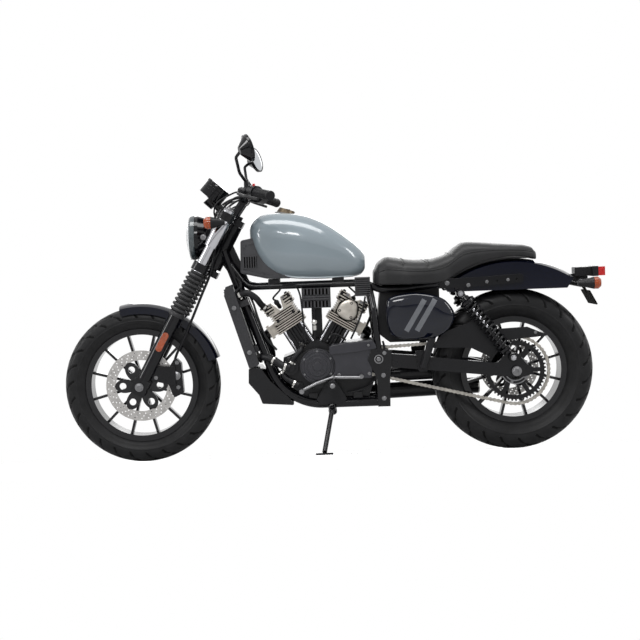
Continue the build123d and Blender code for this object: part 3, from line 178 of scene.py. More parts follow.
M = {
    # rubber and plastic
    "tyre": material("tyre_rubber", (0.0075, 0.0075, 0.008), 0.42, vary=(0.3, 30), grain=(0.3, 700), spec=0.2),
    # darker than the tyre's rubber: painted shade in the tread's grooves
    "groove": material("tyre_groove_painted_shade", (0.0025, 0.0025, 0.0025), 0.7, vary=(0.2, 12), spec=0.1),
    "rubber": material("moulded_rubber", (0.006, 0.006, 0.007), 0.42, vary=(0.25, 12), grain=(0.25, 800),
        spec=0.22),
    "gaiter": material("gaiter_rubber", (0.02, 0.02, 0.021), 0.45, vary=(0.2, 12), grain=(0.2, 900), spec=0.3),
    "plastic": material("grained_plastic", (0.006, 0.006, 0.007), 0.36, vary=(0.2, 12), grain=(0.25, 1100),
        cells=True, spec=0.22, edge=0.0022),
    "box": material("dark_grey_plastic", (0.038, 0.038, 0.041), 0.4, vary=(0.15, 12), grain=(0.1, 1100),
        spec=0.3, edge=0.0015),
    "red_plastic": material("red_switch", (0.4, 0.012, 0.01), 0.3, vary=(0.12, 60), grain=(0.1, 900)),
    "yellow": material("yellow_switch", (0.65, 0.45, 0.03), 0.35, vary=(0.1, 60), grain=(0.1, 900)),
    "seat": material("seat_leather", (0.007, 0.007, 0.0075), 0.46, vary=(0.25, 25), grain=(0.5, 420),
        cells=True, sheen=0.05, spec=0.28),
    "thread": material("seat_thread", (0.05, 0.05, 0.05), 0.7, vary=(0.2, 300), grain=(0.5, 2500)),
    # paint
    "alloy": material("gloss_black_alloy", (0.0035, 0.0035, 0.0045), 0.14, coat=0.3, vary=(0.2, 12), spec=0.2),
    "satin": material("satin_black_metal", (0.0045, 0.0045, 0.0055), 0.24, vary=(0.25, 12), grain=(0.1, 1500),
        spec=0.25, edge=0.0022),
    "gloss": material("gloss_black_shell", (0.003, 0.003, 0.004), 0.1, coat=0.22, vary=(0.15, 12),
        grain=(0.02, 1500), spec=0.16, edge=0.0025),
    "navy": material("navy_gloss_paint", (0.002, 0.0027, 0.008), 0.07, coat=0.22, spec=0.14),
    "pod": striped("navy_pod_stripes", (0.1, 0.105, 0.115), [(300, 592, 372, 476), (340, 592, 412, 476)], 19),
    "grey": material("blue_grey_paint", (0.172, 0.207, 0.228), 0.2, coat=0.6, vary=(0.03, 4),
        grain=(0.02, 2500), spec=0.35),
    # the seam's pale colour is a painted highlight along the tank's lower lip
    "seam": material("seam_painted_highlight", (0.42, 0.47, 0.5), 0.16, coat=0.8, vary=(0.03, 4)),
    "lamp_grey": material("lamp_ring_paint", (0.045, 0.055, 0.06), 0.18, coat=0.6, vary=(0.06, 6), spec=0.4),
    "cover": material("satin_cover_paint", (0.026, 0.026, 0.031), 0.26, vary=(0.15, 12), grain=(0.05, 1500),
        spec=0.3, edge=0.0025),
    "engine": material("engine_black_cast", (0.006, 0.006, 0.007), 0.32, vary=(0.3, 12), grain=(0.3, 500),
        spec=0.25, edge=0.0022),
    # near black and matte: painted shade in the gaps between the fins and the louvres; the plate bracket is
    # given it too
    "gap": material("fin_gap_shadow", (0.004, 0.0035, 0.003), 0.8, vary=(0.3, 60), spec=0.05),
    # bare metal
    "steel": material("drilled_disc_steel", (0.36, 0.35, 0.34), 0.32, 1, vary=(0.14, 40), grain=(0.15, 400),
        rough_vary=0.3),
    "chain": material("oiled_chain_steel", (0.3, 0.285, 0.26), 0.36, 1, vary=(0.3, 90), rough_vary=0.3),
    "chrome": material("polished_chrome", (0.42, 0.42, 0.44), 0.08, 1, vary=(0.04, 12), rough_vary=0.4),
    "silver": material("cast_aluminium", (0.36, 0.335, 0.3), 0.36, 0.9, vary=(0.22, 40), grain=(0.4, 600),
        rough_vary=0.3, edge=0.001),
    "bright": material("machined_aluminium", (0.46, 0.45, 0.43), 0.25, 1, vary=(0.08, 50), grain=(0.1, 900)),
    "dull": material("zinc_plated_steel", (0.17, 0.17, 0.175), 0.32, 1, vary=(0.15, 50), grain=(0.1, 900)),
    "ring": material("dark_machined_ring", (0.045, 0.045, 0.05), 0.2, 1, vary=(0.1, 50)),
    "core": material("radiator_core", (0.02, 0.02, 0.022), 0.5, 0.4, vary=(0.3, 200)),
    "brass": material("aged_brass", (0.085, 0.066, 0.045), 0.35, 0.9, vary=(0.3, 60)),
    # glass and the dial
    "glass": material("clear_glass", (0.95, 0.97, 0.98), 0.03, trans=1, vary=(0.01, 12), rough_vary=0.2),
    "mirror": material("silvered_glass", (0.5, 0.52, 0.54), 0.03, 1, vary=(0.02, 12)),
    "amber": lens_material("amber_lens_grid", (0.22, 0.032, 0.001)),
    "red": lens_material("red_lens_grid", (0.36, 0.006, 0.006)),
    "dial": material("dial_face", (0.03, 0.03, 0.033), 0.4, vary=(0.1, 60), grain=(0.2, 900)),
    "white": material("dial_print", (0.8, 0.8, 0.78), 0.5, vary=(0.05, 12)),
}

CAD_FINISH = {
    "tyre": "front_tyre rear_tyre", "alloy": "front_rim rear_rim", "steel": "front_disc rear_disc",
    "satin": "rear_sprocket triple_clamps handlebar front_caliper frame_neck frame_rails exhaust_headers"
             " silencers swingarm shocks rear_caliper side_stand", "chain": "chain",
    "gloss": "fork_legs mirrors headlight instrument fender_struts frame_cradle chin_fairing",
    "chrome": "fork_tubes barrel_studs", "rubber": "fork_gaiters grips brake_hose footpegs",
    "plastic": "hand_controls front_signals electrics_box rear_lamps chain_guard", "box": "airbox tank_cover",
    "navy": "front_fender rear_fender", "pod": "side_covers", "grey": "tank", "brass": "tank_cap",
    "seat": "seat", "engine": "crankcase barrels", "cover": "engine_covers", "silver": "cylinder_heads",
    "core": "radiator", "dull": "foot_controls", "gap": "plate_bracket", "lamp_grey": "headlight_rim",
    "glass": "headlight_lens", "amber": "front_amber_lenses rear_amber_lenses", "red": "tail_lens",
}
for finish, names in CAD_FINISH.items():
    for name in names.split():
        slots = nodes[name].data.materials
        for i in range(len(slots)):
            slots[i] = M[finish]
        if not slots:
            slots.append(M[finish])


# ---------------- mesh code
scene = bpy.context.scene


def add_object(name, data):
    o = bpy.data.objects.new(name, data)
    scene.collection.objects.link(o)
    return o


def piece(name, bm, finish, body="root", sharp=35):
    """Makes the mesh an object in its finish; edges steeper than sharp degrees stay crisp."""
    bm.transform(PARK)
    bmesh.ops.recalc_face_normals(bm, faces=bm.faces)
    mesh = bpy.data.meshes.new(name)
    bm.to_mesh(mesh)
    bm.free()
    for p in mesh.polygons:
        p.use_smooth = True
    if sharp < 180:
        mesh.set_sharp_from_angle(angle=radians(sharp))
    mesh.materials.append(M[finish])
    o = add_object(name, mesh)
    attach(o, body)
    return o


def turns(n, start=0.0):
    """n angles spread evenly over a full turn."""
    return [start + 2 * pi * k / n for k in range(n)]


def polar(centre, r, a):
    return centre[0] + r * cos(a), centre[1] + r * sin(a)


def circle(centre, r, n):
    return [polar(centre, r, a) for a in turns(n)]


def skin(bm, rings, closed=False):
    """Joins neighbouring rings with faces. A ring may be a single point."""
    pairs = list(zip(rings, rings[1:])) + ([(rings[-1], rings[0])] if closed else [])
    for a, b in pairs:
        for k in range(max(len(a), len(b))):
            quad = [a[k % len(a)], a[(k + 1) % len(a)], b[(k + 1) % len(b)], b[k % len(b)]]
            corners = list(dict.fromkeys(quad))
            if len(corners) > 2:
                bm.faces.new(corners)


def caps(bm, rings):
    for ring in (rings[0][::-1], rings[-1]):
        if len(ring) > 1:
            bm.faces.new(ring)


def round_ring(bm, centre, u, v, r, n):
    return [bm.verts.new(centre + (u * cos(a) + v * sin(a)) * r) for a in turns(n)]


def frames(points):
    """A steady pair of side vectors for each point of a path."""
    out, side = [], None
    for i in range(len(points)):
        way = (points[min(i + 1, len(points) - 1)] - points[max(i - 1, 0)]).normalized()
        if side is None:
            side = way.cross(LEFT if abs(way.y) < 0.9 else UP).normalized()
        side = (side - way * side.dot(way)).normalized()
        out.append((side, way.cross(side)))
    return out


def tube(bm, points, r, n=12):
    """A round tube along the points; r is one radius or a list of them."""
    points = [Vector(p) for p in points]
    radii = r if isinstance(r, list) else [r] * len(points)
    rings = [round_ring(bm, p, u, v, q, n) for p, (u, v), q in zip(points, frames(points), radii)]
    skin(bm, rings)
    caps(bm, rings)


def lathe(bm, profile, origin, way, n=32, closed=False):
    """Turns a profile of (radius, height) about the line from origin along way."""
    origin, way = Vector(origin), Vector(way).normalized()
    u = way.cross(UP if abs(way.z) < 0.9 else Vector((1, 0, 0))).normalized()
    v = way.cross(u)
    rings = [round_ring(bm, origin + way * h, u, v, r, n if r else 1) for r, h in profile]
    skin(bm, rings, closed)
    if not closed:
        caps(bm, rings)


def hoop(bm, r0, r1, h0, h1, origin, way, n):
    """A ring with a rectangular section."""
    lathe(bm, [(r0, h0), (r1, h0), (r1, h1), (r0, h1)], origin, way, n, closed=True)


def pin(bm, r, h0, h1, origin, way, n):
    lathe(bm, [(r, h0), (r, h1)], origin, way, n)


def turned(name, finish, body, profile, origin, way, n, closed=False, sharp=35):
    """A piece that is one turned shape."""
    bm = bmesh.new()
    lathe(bm, profile, origin, way, n, closed)
    return piece(name, bm, finish, body, sharp)


def bolt(bm, at, r=6, h=5, way=LEFT):
    """A washer and a hexagon head with a chamfer and a sunk middle."""
    pin(bm, r * 1.25, 0, h * 0.25, at, way, 18)
    lathe(bm, [(r, h * 0.2), (r, h * 0.85), (r * 0.88, h), (r * 0.5, h), (r * 0.4, h * 0.75)], at, way, 6)


def catmull(a, b, c, d, t):
    """The smooth curve from b to c, t of the way along; a and d are the neighbours."""
    return 0.5 * ((2 * b) + (c - a) * t + (2 * a - 5 * b + 4 * c - d) * t * t + (3 * b - a - 3 * c + d) * t**3)


def smooth_path(points, steps=8, closed=False):
    p = [Vector(q) for q in points]
    n = len(p)
    out = []
    for i in range(n if closed else n - 1):
        if closed:
            near = p[i - 1], p[i], p[(i + 1) % n], p[(i + 2) % n]
        else:
            near = p[max(i - 1, 0)], p[i], p[i + 1], p[min(i + 2, n - 1)]
        out += [catmull(*near, k / steps) for k in range(steps)]
    return out if closed else out + [p[-1]]


def as_drawn(x, y, z):
    return x, y, z


def plate(bm, loops, y0, y1, place=as_drawn):
    """A flat plate in the side view: the first loop of (x, z) is its outline and the others are holes."""
    flat = [q for loop in loops for q in loop]
    low, high = ([bm.verts.new(place(x, y, z)) for x, z in flat] for y in (y0, y1))
    for a, b, c in tessellate_polygon([[Vector((x, z, 0)) for x, z in loop] for loop in loops]):
        bm.faces.new((low[a], low[b], low[c]))
        bm.faces.new((high[c], high[b], high[a]))
    start = 0
    for loop in loops:
        end = start + len(loop)
        skin(bm, [low[start:end], high[start:end]])
        start = end


def brick(bm, x0, x1, y0, y1, z0, z1, place=as_drawn):
    corners = (x0, y0), (x1, y0), (x1, y1), (x0, y1)
    low, high = ([bm.verts.new(place(x, y, z)) for x, y in corners] for z in (z0, z1))
    skin(bm, [low, high])
    caps(bm, [low, high])


def slab(bm, x0, x1, side, y0, y1, z0, z1):
    """A brick between y0 and y1 from the machine's middle, on one side of it."""
    brick(bm, x0, x1, *sorted((side * y0, side * y1)), z0, z1)


# ---------------- tyres
AROUND = 768  # steps round a tyre
GROOVE = 5.0  # depth of the tread


def groove_depth(w, repeat):
    """The share of GROOVE cut at w of the half width: long curved grooves with short ones between."""
    long = abs((repeat + 1.4 * w**1.8) % 1 - 0.5) / (0.08 + 0.02 * w)
    short = abs((repeat + 0.42 + 0.75 * w) % 1 - 0.5) / 0.075
    depth = 0.0
    if 0.1 < w < 0.998 and long < 1:
        depth = min(1, (1 - long) * 3) * min(1, (w - 0.1) * 14)
    if 0.3 < w < 0.78 and short < 1:
        depth = max(depth, min(1, (1 - short) * 3) * min(1, (w - 0.3) * 10) * min(1, (0.78 - w) * 12))
    return depth


def tyre(name, hub, width, bead, rim_width, body, replaced, repeats):
    R, W, rim = hub[1], width / 2, rim_width / 2
    H = R - bead
    half = [
        (bead + 1, rim - 7), (bead + 6, rim - 1), (bead + 13, rim + 3), (R - 0.62 * H, W - 4),
        (R - 0.45 * H, W), (R - 0.3 * H, W - 2.5), (R - 0.17 * H, W * 0.86), (R - 0.075 * H, W * 0.64),
        (R - 0.02 * H, W * 0.34), (R, 0),
    ]
    profile = [(p.x, p.y) for p in smooth_path([(r, y, 0) for r, y in half], 6)]
    profile += [(r, -y) for r, y in profile[-2::-1]]
    inside = [(r - 9 if r > bead + 20 else bead + 2, y * 0.86) for r, y in profile[::-8]]
    bm = bmesh.new()
    rings, cut = [], set()
    for i, (r, y) in enumerate(profile + inside):
        outer = i < len(profile)
        if outer and any(abs(r - R + share * H) < 1.6 for share in (0.52, 0.8)):
            y += 1.4 if y > 0 else -1.4  # a raised line on the sidewall
        ring = []
        for k, a in enumerate(turns(AROUND)):
            depth = 0.0
            if outer and r > R - 0.46 * H:
                depth = groove_depth(abs(y / W), k / AROUND * repeats + (0.5 if y < 0 else 0))
            if depth > 0.45:
                cut.add(i * AROUND + k)
            reach = r - GROOVE * depth
            ring.append(bm.verts.new((hub[0] + reach * sin(a), y, hub[1] + reach * cos(a))))
        rings.append(ring)
    skin(bm, rings, closed=True)
    o = piece(name, bm, "tyre", body, sharp=50)
    # faces cut past the groove's middle take the darker rubber: painted shade in the grooves
    o.data.materials.append(M["groove"])
    for p in o.data.polygons:
        if sum(v in cut for v in p.vertices) >= 3:
            p.material_index = 1
    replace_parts(o, replaced)


tyre("tyre_front", FRONT_HUB, 120, 203, 78, "front_wheel", "front_tyre", 26)
tyre("tyre_rear", REAR_HUB, 150, 190.5, 96, "rear_wheel", "rear_tyre", 24)

# ---------------- discs and valves
CARRIER = 44  # inner radius of the discs' carriers


def disc(name, hub, y, outer, inner, body, replaced, out):
    """A drilled ring on a black petal carrier; out is +1 where the carrier's bolts face left."""
    bm = bmesh.new()
    loops = [circle(hub, outer, 120), circle(hub, inner, 90)[::-1]]
    for k in range(30):
        for j in range(3):
            r = inner + (outer - inner) * (0.24 + 0.26 * j)
            loops.append(circle(polar(hub, r, 2 * pi * (k + 0.33 * j) / 30), 2.6, 8))
    plate(bm, loops, y - 2.4, y + 2.4)
    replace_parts(piece(name, bm, "steel", body, sharp=30), replaced)
    bm = bmesh.new()
    depth = inner - CARRIER
    petals = [polar(hub, CARRIER + (depth + 3) * abs(cos(3 * a)) ** 0.88, a) for a in turns(144)]
    holes = [circle(polar(hub, CARRIER + depth * 0.5, a), depth * 0.24, 20) for a in turns(6)]
    plate(bm, [petals, circle(hub, CARRIER - 20, 36)] + holes, y - 3.4, y + 3.4)
    for a in turns(6):
        x, z = polar(hub, inner - 3, a)
        pin(bm, 7, -4.4, 4.4, (x, y, z), LEFT, 16)
        x, z = polar(hub, CARRIER - 4, a + pi / 6)
        bolt(bm, (x, y + 3 * out, z), 5, 5, (0, out, 0))
    piece(name + "_carrier", bm, "alloy", body)


disc("disc_front", FRONT_HUB, 62, 135, 98, "front_wheel", "front_disc", 1)
disc("disc_rear", REAR_HUB, -78, 115, 84, "rear_wheel", "rear_disc", -1)

VALVES = (("valve_front", FRONT_HUB, 196, "front_wheel"), ("valve_rear", REAR_HUB, 184, "rear_wheel"))
for name, hub, r, body in VALVES:
    a = radians(75)
    x, z = polar(hub, r, a)
    stem = [(5, 0), (5, -6), (3, -9), (3, -26), (4.2, -27), (4.2, -34), (2, -36)]
    turned(name, "rubber", body, stem, (x, 12, z), (cos(a), 0.15, sin(a)), 12)

# ---------------- chain
DRIVE, DRIVE_R, SPROCKET_R, CHAIN_Y = (617, 371), 38, 128, 90
LINK_R, WAIST, PIN_PITCH = 6.6, 4.3, 15.875


def chain_path():
    """Round both sprockets, which share their two tangents."""
    d = hypot(DRIVE[0] - REAR_HUB[0], DRIVE[1] - REAR_HUB[1])
    base = atan2(REAR_HUB[1] - DRIVE[1], REAR_HUB[0] - DRIVE[0])
    off = acos((DRIVE_R - SPROCKET_R) / d)
    up, down = base - off, base + off
    points = []
    for centre, r, a0, a1 in ((REAR_HUB, SPROCKET_R, up, down), (DRIVE, DRIVE_R, down, up + 2 * pi)):
        while a1 < a0:
            a1 += 2 * pi
        m = max(16, int((a1 - a0) * r / 3))
        points += [polar(centre, r, a0 + (a1 - a0) * k / m) for k in range(m + 1)]
    return points


def even(points, pitch):
    """Points at equal steps round a closed path."""
    loop = points + [points[0]]
    lengths = [0]
    for a, b in zip(loop, loop[1:]):
        lengths.append(lengths[-1] + hypot(b[0] - a[0], b[1] - a[1]))
    n = 2 * round(lengths[-1] / pitch / 2)
    out, j = [], 0
    for k in range(n):
        s = lengths[-1] * k / n
        while lengths[j + 1] < s:
            j += 1
        f = (s - lengths[j]) / max(1e-9, lengths[j + 1] - lengths[j])
        out.append(tuple(p + (q - p) * f for p, q in zip(loop[j], loop[j + 1])))
    return out


bm = bmesh.new()
pins = even(chain_path(), PIN_PITCH)
for i, (a, b) in enumerate(zip(pins, pins[1:] + pins[:1])):
    length = hypot(b[0] - a[0], b[1] - a[1])
    ux, uz = (b[0] - a[0]) / length, (b[1] - a[1]) / length
    near = [polar((0, 0), LINK_R, pi / 2 + pi * k / 6) for k in range(7)]
    far = [polar((length, 0), LINK_R, -pi / 2 + pi * k / 6) for k in range(7)]
    outline = near + [(length / 2, -WAIST)] + far + [(length / 2, WAIST)]
    side = [(a[0] + p * ux - q * uz, a[1] + p * uz + q * ux) for p, q in outline]
    inner, outer = (3.6, 5.2) if i % 2 else (5.4, 6.9)
    for s in (1, -1):
        plate(bm, [side], CHAIN_Y + s * inner, CHAIN_Y + s * outer)
    pin(bm, 4.6, -3.6, 3.6, (a[0], CHAIN_Y, a[1]), LEFT, 10)
    pin(bm, 2.3, -7.6, 7.6, (a[0], CHAIN_Y, a[1]), LEFT, 8)
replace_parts(piece("drive_chain_links", bm, "chain", sharp=30), "chain")

# ---------------- shocks
COILS, COIL_R, COIL_N = 11, 24, 20
SHOCK_Y = 138
springs, bodies, rods = bmesh.new(), bmesh.new(), bmesh.new()
for side in (1, -1):
    top, bottom = Vector((204, side * SHOCK_Y, 610)), Vector((12, side * SHOCK_Y, 362))
    axis = (top - bottom).normalized()
    L = (top - bottom).length
    u = axis.cross(LEFT).normalized()
    v = axis.cross(u)
    low, high = 52, L - 44
    coil = []
    for k in range(COILS * COIL_N + 1):
        f = k / (COILS * COIL_N)
        a = 2 * pi * COILS * f
        coil.append(bottom + axis * (low + (high - low) * f) + (u * cos(a) + v * sin(a)) * COIL_R)
    tube(springs, coil, 4.6, 10)
    foot = [(8, 20), (15, 26), (15, 34), (29, 40), (30, 50), (14, 52), (13, 60), (12, 150)]
    head = [(12, 66), (17, 60), (19, 50), (30, 44), (30, 36), (19, 30), (16, 20), (9, 18)]
    lathe(bodies, foot, bottom, axis, 28)
    lathe(bodies, [(r, L - h) for r, h in head], bottom, axis, 28)
    pin(rods, 6.5, 100, L - 60, bottom, axis, 18)
    for eye in (top, bottom):
        lathe(bodies, [(9, -12), (15, -12), (16, -10), (16, 10), (15, 12), (9, 12)], eye, LEFT, 24)
        pin(rods, 8, -13, 13, eye, LEFT, 18)
        bolt(rods, eye + LEFT * 12 * side, 8, 7, (0, side, 0))
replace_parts(piece("shock_springs", springs, "satin", sharp=180), "shocks")
piece("shock_bodies", bodies, "gloss")
piece("shock_rods", rods, "chrome")

# ---------------- seat
# x, base height, top height, width and edge drop
SEAT = [
    (523, 654, 706, 150, 8), (508, 651, 735, 206, 12), (478, 650, 755, 246, 16), (440, 650, 752, 276, 18),
    (400, 650, 745, 294, 20), (350, 650, 741, 290, 20), (300, 650, 743, 274, 20), (262, 654, 752, 248, 18),
    (235, 660, 764, 228, 16), (208, 668, 785, 218, 14), (180, 676, 801, 212, 14), (120, 688, 800, 206, 14),
    (60, 696, 794, 202, 14), (0, 702, 789, 192, 14), (-50, 708, 785, 178, 14), (-82, 716, 776, 158, 12),
    (-96, 726, 760, 128, 10),
]
STATIONS, SEAT_N = 150, 64
EDGE = 7  # the sides start this far above the base
SIDE_POWER, TOP_POWER = 0.55, 0.42  # exponents of the rounded section
EDGE_FALL = 0.35  # share of the edge drop by which the top falls to its sides
CROWN = 428  # the base keeps outside this radius round the rear axle
STRIP_Y, STRIP_R = 92.5, 426  # the rubber strips along the fender
SEAM_XS, SEAM_BOW = (236, 330, 424), 14  # sewn lines across the seat, bowed back at their ends
PIPING = 0.28  # height of the piping along the side, as the sine of the section's angle


def seat_section(x):
    """Base, top, width and edge drop at x, smoothly between the rows."""
    for i, (a, b) in enumerate(zip(SEAT, SEAT[1:])):
        if a[0] >= x >= b[0]:
            near = SEAT[max(i - 1, 0)], a, b, SEAT[min(i + 2, len(SEAT) - 1)]
            return [catmull(*values, (a[0] - x) / (a[0] - b[0])) for values in list(zip(*near))[1:]]


def seat_over_fender(x):
    low, high, width, drop = seat_section(x)
    if abs(x) < CROWN:
        low = max(low, REAR_R + sqrt(CROWN**2 - x * x) + 1)
    return min(low, high - 24), high, width, drop


def cushion_top(low, high, lift):
    return low + EDGE + (high - low - EDGE) * lift**TOP_POWER


def cushion_point(x, a, low, high, width, drop):
    """The cushion's skin at the angle a of its section."""
    lift = sin(a)
    f = abs(cos(a)) ** SIDE_POWER * (1 if cos(a) > 0 else -1)
    y = width / 2 * f
    if lift <= 0:
        return x, y * 0.985, low + EDGE - EDGE * abs(lift) ** 0.5
    z = cushion_top(low, high, lift) - drop * EDGE_FALL * f**2
    if lift > 0.35:
        z -= sum(4.5 * max(0, 1 - abs(x - seam + SEAM_BOW * f**2) / 9) ** 1.5 for seam in SEAM_XS)
    if 0.20 < lift < 0.36:
        y *= 0.982  # the side panel's seam
    return x, y, z + noise.noise(Vector((x * 0.02, y * 0.03, z * 0.03)))


bm = bmesh.new()
rings = []
for i in range(STATIONS + 1):
    x = SEAT[0][0] + (SEAT[-1][0] - SEAT[0][0]) * i / STATIONS
    section = seat_over_fender(x)
    rings.append([bm.verts.new(cushion_point(x, a, *section)) for a in turns(SEAT_N)])
skin(bm, rings)
for ring, bulge in ((rings[0], 3), (rings[-1], -3)):
    middle = sum((v.co for v in ring), Vector()) / SEAT_N + Vector((bulge, 0, 0))
    skin(bm, [ring, [bm.verts.new(middle)]])
seat = piece("seat_cushion", bm, "seat", sharp=180)
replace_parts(seat, "seat")

seams, stitches = bmesh.new(), bmesh.new()
for seam in SEAM_XS:
    line = []
    for k in range(27):
        f = -0.86 + 1.72 * k / 26
        x = seam - SEAM_BOW * f * f
        low, high, width, drop = seat_section(x)
        lift = sqrt(1 - abs(f) ** (2 / SIDE_POWER))
        z = cushion_top(low, high, lift) - drop * EDGE_FALL * f * f
        line.append((x, f * width / 2, z - 3.2))
    tube(seams, smooth_path(line, 3), 2.1, 8)
    path = smooth_path(line, 6)
    for j in range(2, len(path) - 3, 3):
        for off in (7, -7):
            a, b = path[j] + Vector((off, 0, 3.1)), path[j + 1] + Vector((off, 0, 3.1))
            tube(stitches, [a, (a + b) / 2 + UP * 0.6, b], 0.7, 5)
for side in (1, -1):
    line = []
    for i in range(60):
        x = 512 - 600 * i / 59
        low, high, width, drop = seat_over_fender(x)
        y = side * width / 2 * (1 - PIPING**2) ** (SIDE_POWER / 2) * 0.985
        line.append((x, y, cushion_top(low, high, PIPING) - drop * 0.3))
    tube(seams, line, 2.2, 8)
    # a rubber strip along the fender, thinner at its rear end
    strip = [(x, side * STRIP_Y, REAR_R + sqrt(STRIP_R**2 - x * x) + 2.5) for x in range(256, -62, -12)]
    tube(seams, strip, [min(5, 2 + 0.06 * (x + 60)) for x, y, z in strip], 8)
piece("seat_piping", seams, "seat", sharp=180)
piece("seat_stitches", stitches, "thread", sharp=180)

# ---------------- handlebar, mirrors, gauge, headlight
BAR_END, BAR_BEND = Vector((897, 385, 992)), Vector((1022, 115, 1032))
OUT = (BAR_END - BAR_BEND).normalized()
AHEAD = OUT.cross(UP).normalized()


def on_bar(inset, ahead=0.0, rise=0.0, side=1):
    p = BAR_END - OUT * inset + AHEAD * ahead + UP * rise
    return Vector((p.x, p.y * side, p.z))


bm = bmesh.new()
grip = [(8, -7), (16, -6.5), (18, -4), (18, 0), (17, 1)]
for k in range(17):
    grip += [(r, h + 6.4 * k) for r, h in ((17.2, 4), (15.6, 5.2), (15.6, 8), (17.2, 9.2))]
grip += [(17.5, 114), (20.5, 116), (20.5, 119), (12, 120)]
for side in (1, -1):
    lathe(bm, grip, on_bar(0, side=side), (-OUT.x, -OUT.y * side, -OUT.z), 32)
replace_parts(piece("ribbed_grips", bm, "rubber", "steering"), "grips")

glass, rims = bmesh.new(), bmesh.new()
for side in (1, -1):
    at, way = (968, 330 * side, 1168), (-0.913, -0.326 * side, 0.259)
    lathe(glass, [(46, -0.5), (46, 0.8), (44, 1.2), (30, 2.0), (15, 2.5), (0, 2.7)], at, way, 48)
    rim = [(46.5, -2), (51.5, -2), (51.8, 1), (50, 2.4), (47.5, 2.2), (46.5, 0.6)]
    lathe(rims, rim, at, way, 48, closed=True)
    lathe(rims, [(9, -3), (9, 10), (6, 12)], on_bar(193, 12, 30, side), UP, 6)
piece("mirror_glasses", glass, "mirror", "steering")
piece("mirror_rims", rims, "gloss", "steering")

switches = {"red_plastic": bmesh.new(), "yellow": bmesh.new(), "dial": bmesh.new()}
for side in (1, -1):
    way = (-AHEAD.x, -AHEAD.y * side, 0.35)
    lathe(switches["dial"], [(9, -4), (9, 4), (7, 6), (0, 6.5)], on_bar(158, -22, 4, side), way, 20)
    button = switches["yellow" if side > 0 else "red_plastic"]
    lathe(button, [(5, -3), (5, 5), (3.5, 7), (0, 7.4)], on_bar(146, -22, 8, side), way, 16)
lathe(switches["red_plastic"], [(5, -3), (5, 6), (3.5, 8), (0, 8.4)], on_bar(140, 4, 24), UP, 16)
for finish, bm in switches.items():
    piece("switch_" + finish, bm, finish, "steering")

FACE = Vector((1104, 0, 1048))  # middle of the gauge's face
DIAL_WAY = (FACE - Vector((1142, 0, 1006))).normalized()
DIAL_RIGHT, DIAL_UP = -LEFT, LEFT.cross(DIAL_WAY).normalized()
NUMERALS, MARKS, SWEEP = 8, 28, radians(270)


def dial_angle(share):
    return radians(225) - SWEEP * share


def on_dial(r, a, h, aside=0.0):
    """A point of the dial at radius r and angle a, h above its face and aside of that radius."""
    way = DIAL_RIGHT * cos(a) + DIAL_UP * sin(a)
    return FACE + DIAL_WAY * h + way * r + DIAL_WAY.cross(way) * aside


bm = bmesh.new()
lathe(bm, [(43, -3), (50.5, -8), (51, 1), (49, 4.5), (45, 5), (43, 2)], FACE, DIAL_WAY, 56, closed=True)
lathe(bm, [(26, -46), (26, -52), (14, -58), (7, -60)], FACE, DIAL_WAY, 24)
for h in (-16, -30):
    band = [(49, h - 1.5), (50.6, h - 0.9), (50.6, h + 0.9), (49, h + 1.5)]
    lathe(bm, band, FACE, DIAL_WAY, 56, closed=True)
piece("gauge_bezel", bm, "gloss", "steering")
face = [(43, -1), (43, 0.6), (0, 0.7)]
turned("gauge_dial", "dial", "steering", face, FACE, DIAL_WAY, 48)
bm = bmesh.new()
for k in range(MARKS + 1):
    start, half = (31, 0.9) if k % 4 == 0 else (35, 0.45)
    a = dial_angle(k / MARKS)
    brick(bm, start, 39, -half, half, 0.4, 1.2, lambda r, aside, h: on_dial(r, a, h, aside))
needle = dial_angle(0)
tube(bm, [on_dial(-6, needle, 2.2), on_dial(32, needle, 2.2)], [1.6, 0.5], 8)
lathe(bm, [(4, 0.6), (4, 3), (2.5, 3.8)], FACE, DIAL_WAY, 20)
piece("gauge_marks", bm, "white", "steering")
for k in range(NUMERALS):
    curve = bpy.data.curves.new(f"numeral_{k}", "FONT")
    curve.body = str(k * 20)
    curve.size, curve.align_x, curve.align_y, curve.extrude = 6.2, "CENTER", "CENTER", 0.3
    text = add_object("text", curve)
    mesh = bpy.data.meshes.new_from_object(text)
    bpy.data.objects.remove(text)
    basis = Matrix((DIAL_RIGHT, DIAL_UP, DIAL_WAY)).transposed().to_4x4()
    mesh.transform(PARK @ Matrix.Translation(on_dial(25, dial_angle(k / (NUMERALS - 1)), 1.2)) @ basis)
    mesh.materials.clear()
    mesh.materials.append(M["white"])
    o = add_object(f"dial_numeral_{k}", mesh)
    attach(o, "steering")
pane = [(43.5, 3.4), (43.5, 4.4), (30, 5.4), (0, 6.2), (0, 5.2), (30, 4.4)]
turned("gauge_glass", "glass", "steering", pane, FACE, DIAL_WAY, 48, closed=True)

# rubber gaiters with round bellows, and the bright sleeves above them
BELLOWS, BELLOWS_LOW, BELLOWS_HIGH = 9, 18, 179
PITCH = (BELLOWS_HIGH - BELLOWS_LOW) / BELLOWS
FOLD = [(25, 0.04), (29.5, 0.14), (33.6, 0.3), (35, 0.5), (33.6, 0.7), (29.5, 0.86), (25, 0.96)]
bm, sleeves = bmesh.new(), bmesh.new()
gaiter = [(21, 0), (31, 0), (32.5, 2), (32.5, 14), (30, 17)]
for i in range(BELLOWS):
    gaiter += [(r, BELLOWS_LOW + PITCH * (i + share)) for r, share in FOLD]
gaiter += [(27, 180), (27, 187), (21, 187)]
for side in (1, -1):
    lathe(bm, gaiter, fork(300, side * FORK_Y), FORK_UP, 40, closed=True)
    lathe(sleeves, [(27.1, 594), (27.6, 595), (27.6, 700), (27.1, 701)], fork(0, side * FORK_Y), FORK_UP, 40)
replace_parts(piece("bellows_gaiters", bm, "gaiter", "steering", sharp=60), "fork_gaiters")
piece("fork_sleeves", sleeves, "chrome", "steering")

